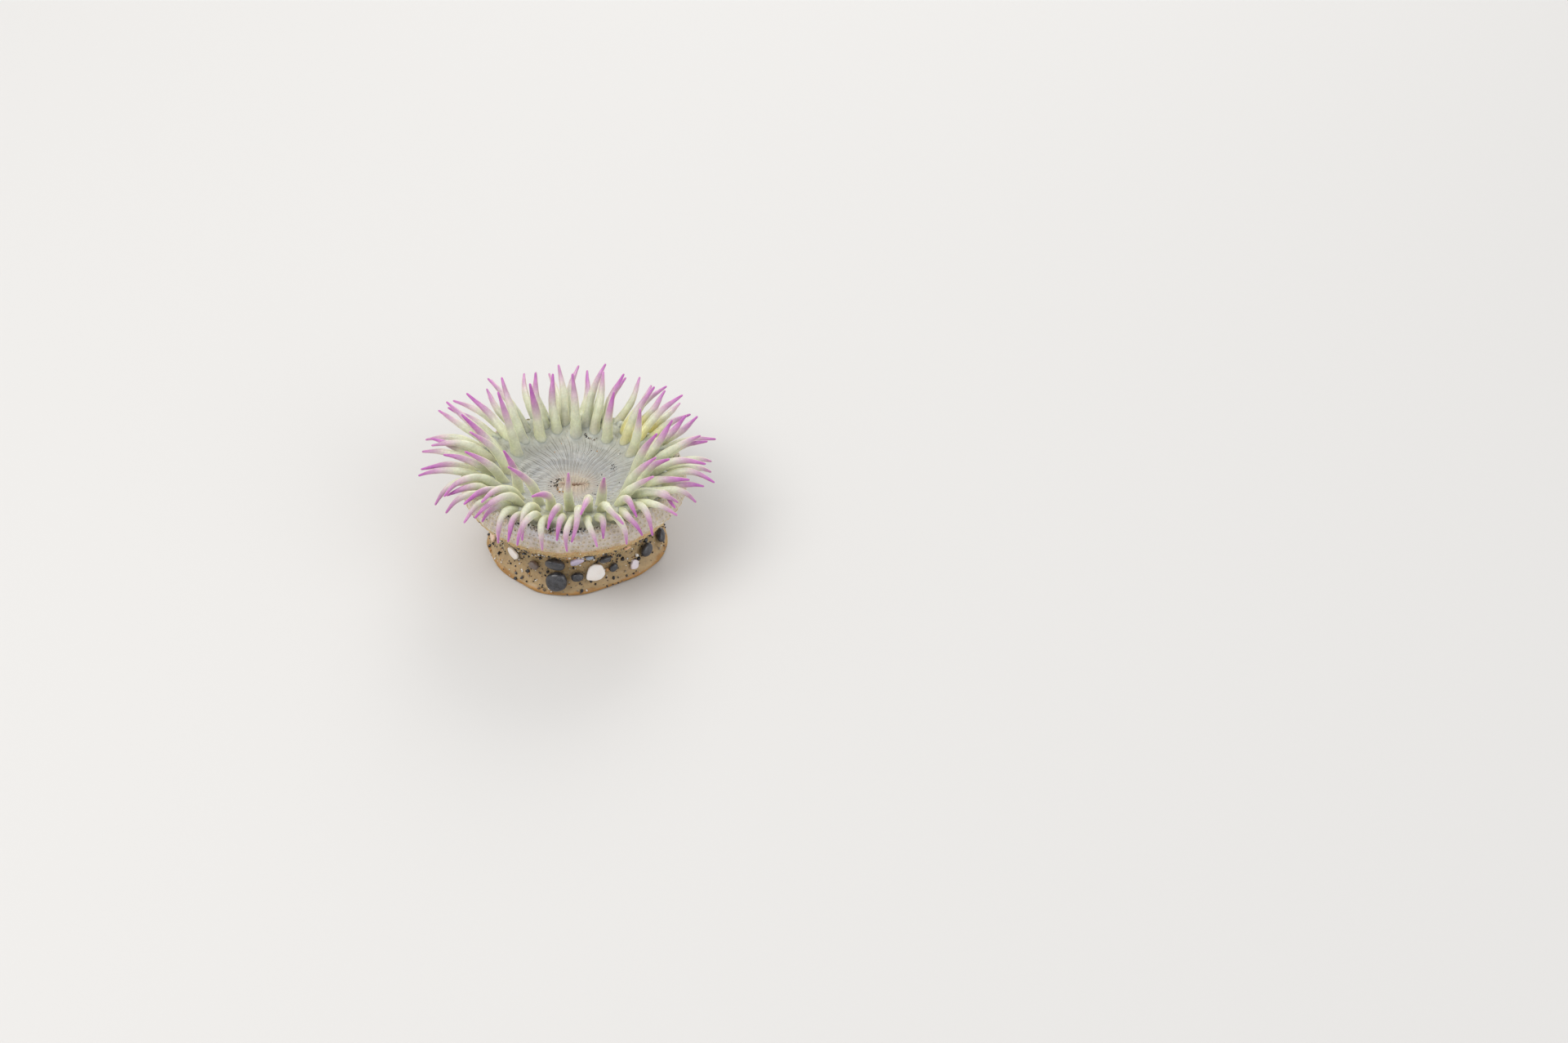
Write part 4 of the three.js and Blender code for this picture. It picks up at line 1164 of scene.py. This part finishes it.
class ANEMONE_OT_shell_bits(bpy.types.Operator):
    """Makes the bits of broken shell on the lower column, in place of their solids"""

    bl_idname = "anemone.shell_bits"
    bl_label = "Shell bits"

    # From white through lilac and slate to peach, one for each of SHELLS.
    SHADES = [0.0, 0.5, 0.7, 0.2, 0.4, 0.85, 0.1, 0.45, 0.95]

    def execute(self, context):
        sides, shares = 35, np.array([0.3, 0.6, 0.85, 0.97, 1.0, 1.0, 0.97, 0.85, 0.6, 0.3])
        levels = np.array([0.5, 0.5, 0.5, 0.46, 0.22, -0.22, -0.46, -0.5, -0.5, -0.5])
        turn = 2 * math.pi * np.arange(sides) / sides
        points, growth = [], []
        for number, (angle, height, size, tilt) in enumerate(SHELLS):
            corner = np.arange(SHELL_CORNERS)
            corners = (corner + 0.25 * variation(number, corner)) / SHELL_CORNERS * 2 * math.pi
            reaches = 0.5 - 0.06 * (1 + variation(number, corner + 7))
            path = np.stack([reaches * np.cos(corners), reaches * np.sin(corners)], -1)
            path = np.concatenate([path[-1:], path, path[:2]])
            edge = spline(path, 1 + np.linspace(0, SHELL_CORNERS, sides, endpoint=False))
            edge = edge * (1 + 0.015 * np.sin(7 * turn + number))[:, None]
            flat = shares[:, None, None] * edge[None] * np.array(size[:2])
            dome, half = 0.18 * size[2], 0.4 * size[2]
            domed = dome * (1 - 4 * (flat[..., 0] / size[0]) ** 2 - 4 * (flat[..., 1] / size[1]) ** 2)
            thick = 2 * half * levels[:, None] + domed
            body = np.concatenate([flat, thick[..., None]], -1).reshape(-1, 3)
            shape = np.concatenate([body, [[0, 0, dome + half], [0, 0, dome - half]]])
            points.append(stick(shape, angle, height, tilt))
            growth.append(np.hypot(shape[:, 0] + 0.5 * size[0], shape[:, 1]) / size[0])
        faces = closed_faces(len(shares), sides, len(SHELLS), downward=True)
        values = {"shade": np.repeat(self.SHADES, len(shape)), "growth": np.concatenate(growth)}
        piece = new_piece("held_shell_bits", np.concatenate(points), faces, values)
        piece.data.materials.append(shared_material("broken_shell", shell_material))
        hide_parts(*SHELL_NODES)
        return {"FINISHED"}


# ---------------------------------------------------------------------------------------------------------
# Stage
# ---------------------------------------------------------------------------------------------------------

class ANEMONE_OT_stage(bpy.types.Operator):
    """Makes the pale floor, the soft lights and the camera"""

    bl_idname = "anemone.stage"
    bl_label = "Stage"

    def light(self, name, place, size, power, tint):
        lamp = bpy.data.lights.new(name, "AREA")
        lamp.shape = "DISK"
        lamp.size = size
        lamp.energy = power
        lamp.color = tint
        holder = bpy.data.objects.new(name, lamp)
        holder.location = place
        holder.rotation_euler = (Vector((0, 0, 0.02)) - Vector(place)).to_track_quat("-Z", "Y").to_euler()
        bpy.context.scene.collection.objects.link(holder)

    def execute(self, context):
        stage = context.scene.anemone.stage
        half = 1.6
        corners = np.array([[-half, -half, 0], [half, -half, 0], [half, half, 0], [-half, half, 0]])
        mesh = bpy.data.meshes.new("floor")
        mesh.from_pydata(corners.tolist(), [], [(0, 1, 2, 3)])
        floor = bpy.data.objects.new("floor", mesh)
        context.scene.collection.objects.link(floor)
        recipe = Recipe("pale_floor")
        mesh.materials.append(recipe.finish(Base_Color=(*stage.floor, 1), Roughness=0.75))

        world = bpy.data.worlds.new("soft_room")
        world.use_nodes = True
        world.node_tree.nodes["Background"].inputs[0].default_value = (0.98, 0.985, 1.0, 1)
        world.node_tree.nodes["Background"].inputs[1].default_value = 0.72
        context.scene.world = world
        self.light("key", (-0.55, -0.25, 0.9), 0.7, 6.5, (1.0, 0.985, 0.96))
        self.light("fill", (0.8, -0.5, 0.6), 0.9, 3, (0.97, 0.98, 1.0))
        self.light("back", (0.15, 0.9, 0.55), 0.6, 4, (1.0, 0.99, 0.97))
        context.scene.view_settings.view_transform = "Standard"

        tilt = math.radians(stage.elevation)
        ahead = Vector((0, math.cos(tilt), -math.sin(tilt)))
        up = Vector((0, math.sin(tilt), math.cos(tilt)))
        target = Vector((stage.left, 0, 0)) + stage.below * up
        camera = bpy.data.cameras.new("camera")
        camera.lens = stage.lens
        camera.sensor_width = 36
        camera.clip_start = 0.01
        holder = bpy.data.objects.new("camera", camera)
        holder.location = target - stage.distance * ahead
        holder.rotation_euler = (math.pi / 2 - tilt, 0, 0)
        context.scene.collection.objects.link(holder)
        context.scene.camera = holder
        return {"FINISHED"}


class ANEMONE_PT_maker(bpy.types.Panel):
    """Lists the anemone's pieces, each with its settings above its button"""

    bl_idname = "ANEMONE_PT_maker"
    bl_label = "Sea anemone"
    bl_space_type = "VIEW_3D"
    bl_region_type = "UI"
    bl_category = "Anemone"

    def draw(self, context):
        settings = context.scene.anemone
        for group, operators in (
            (settings.skin, ("anemone.skin",)),
            (settings.warts, ("anemone.warts", "anemone.collar_beads")),
            (settings.grit, ("anemone.grit", "anemone.pebbles", "anemone.shell_bits")),
            (settings.stage, ("anemone.stage",)),
        ):
            box = self.layout.box()
            for label in type(group).__annotations__:
                box.prop(group, label)
            for operator in operators:
                box.operator(operator)


CLASSES = (
    SkinSettings, WartSettings, GritSettings, StageSettings, AnemoneSettings, ANEMONE_OT_skin,
    ANEMONE_OT_warts, ANEMONE_OT_collar_beads, ANEMONE_OT_grit, ANEMONE_OT_pebbles, ANEMONE_OT_shell_bits,
    ANEMONE_OT_stage, ANEMONE_PT_maker,
)


def register():
    for cls in CLASSES:
        bpy.utils.register_class(cls)
    bpy.types.Scene.anemone = PointerProperty(type=AnemoneSettings)


def unregister():
    del bpy.types.Scene.anemone
    for cls in reversed(CLASSES):
        bpy.utils.unregister_class(cls)


def main():
    register()
    bpy.ops.anemone.stage()
    bpy.ops.anemone.skin()
    bpy.ops.anemone.warts()
    bpy.ops.anemone.collar_beads()
    bpy.ops.anemone.pebbles()
    bpy.ops.anemone.shell_bits()
    bpy.ops.anemone.grit()


if __name__ == "__main__":
    main()
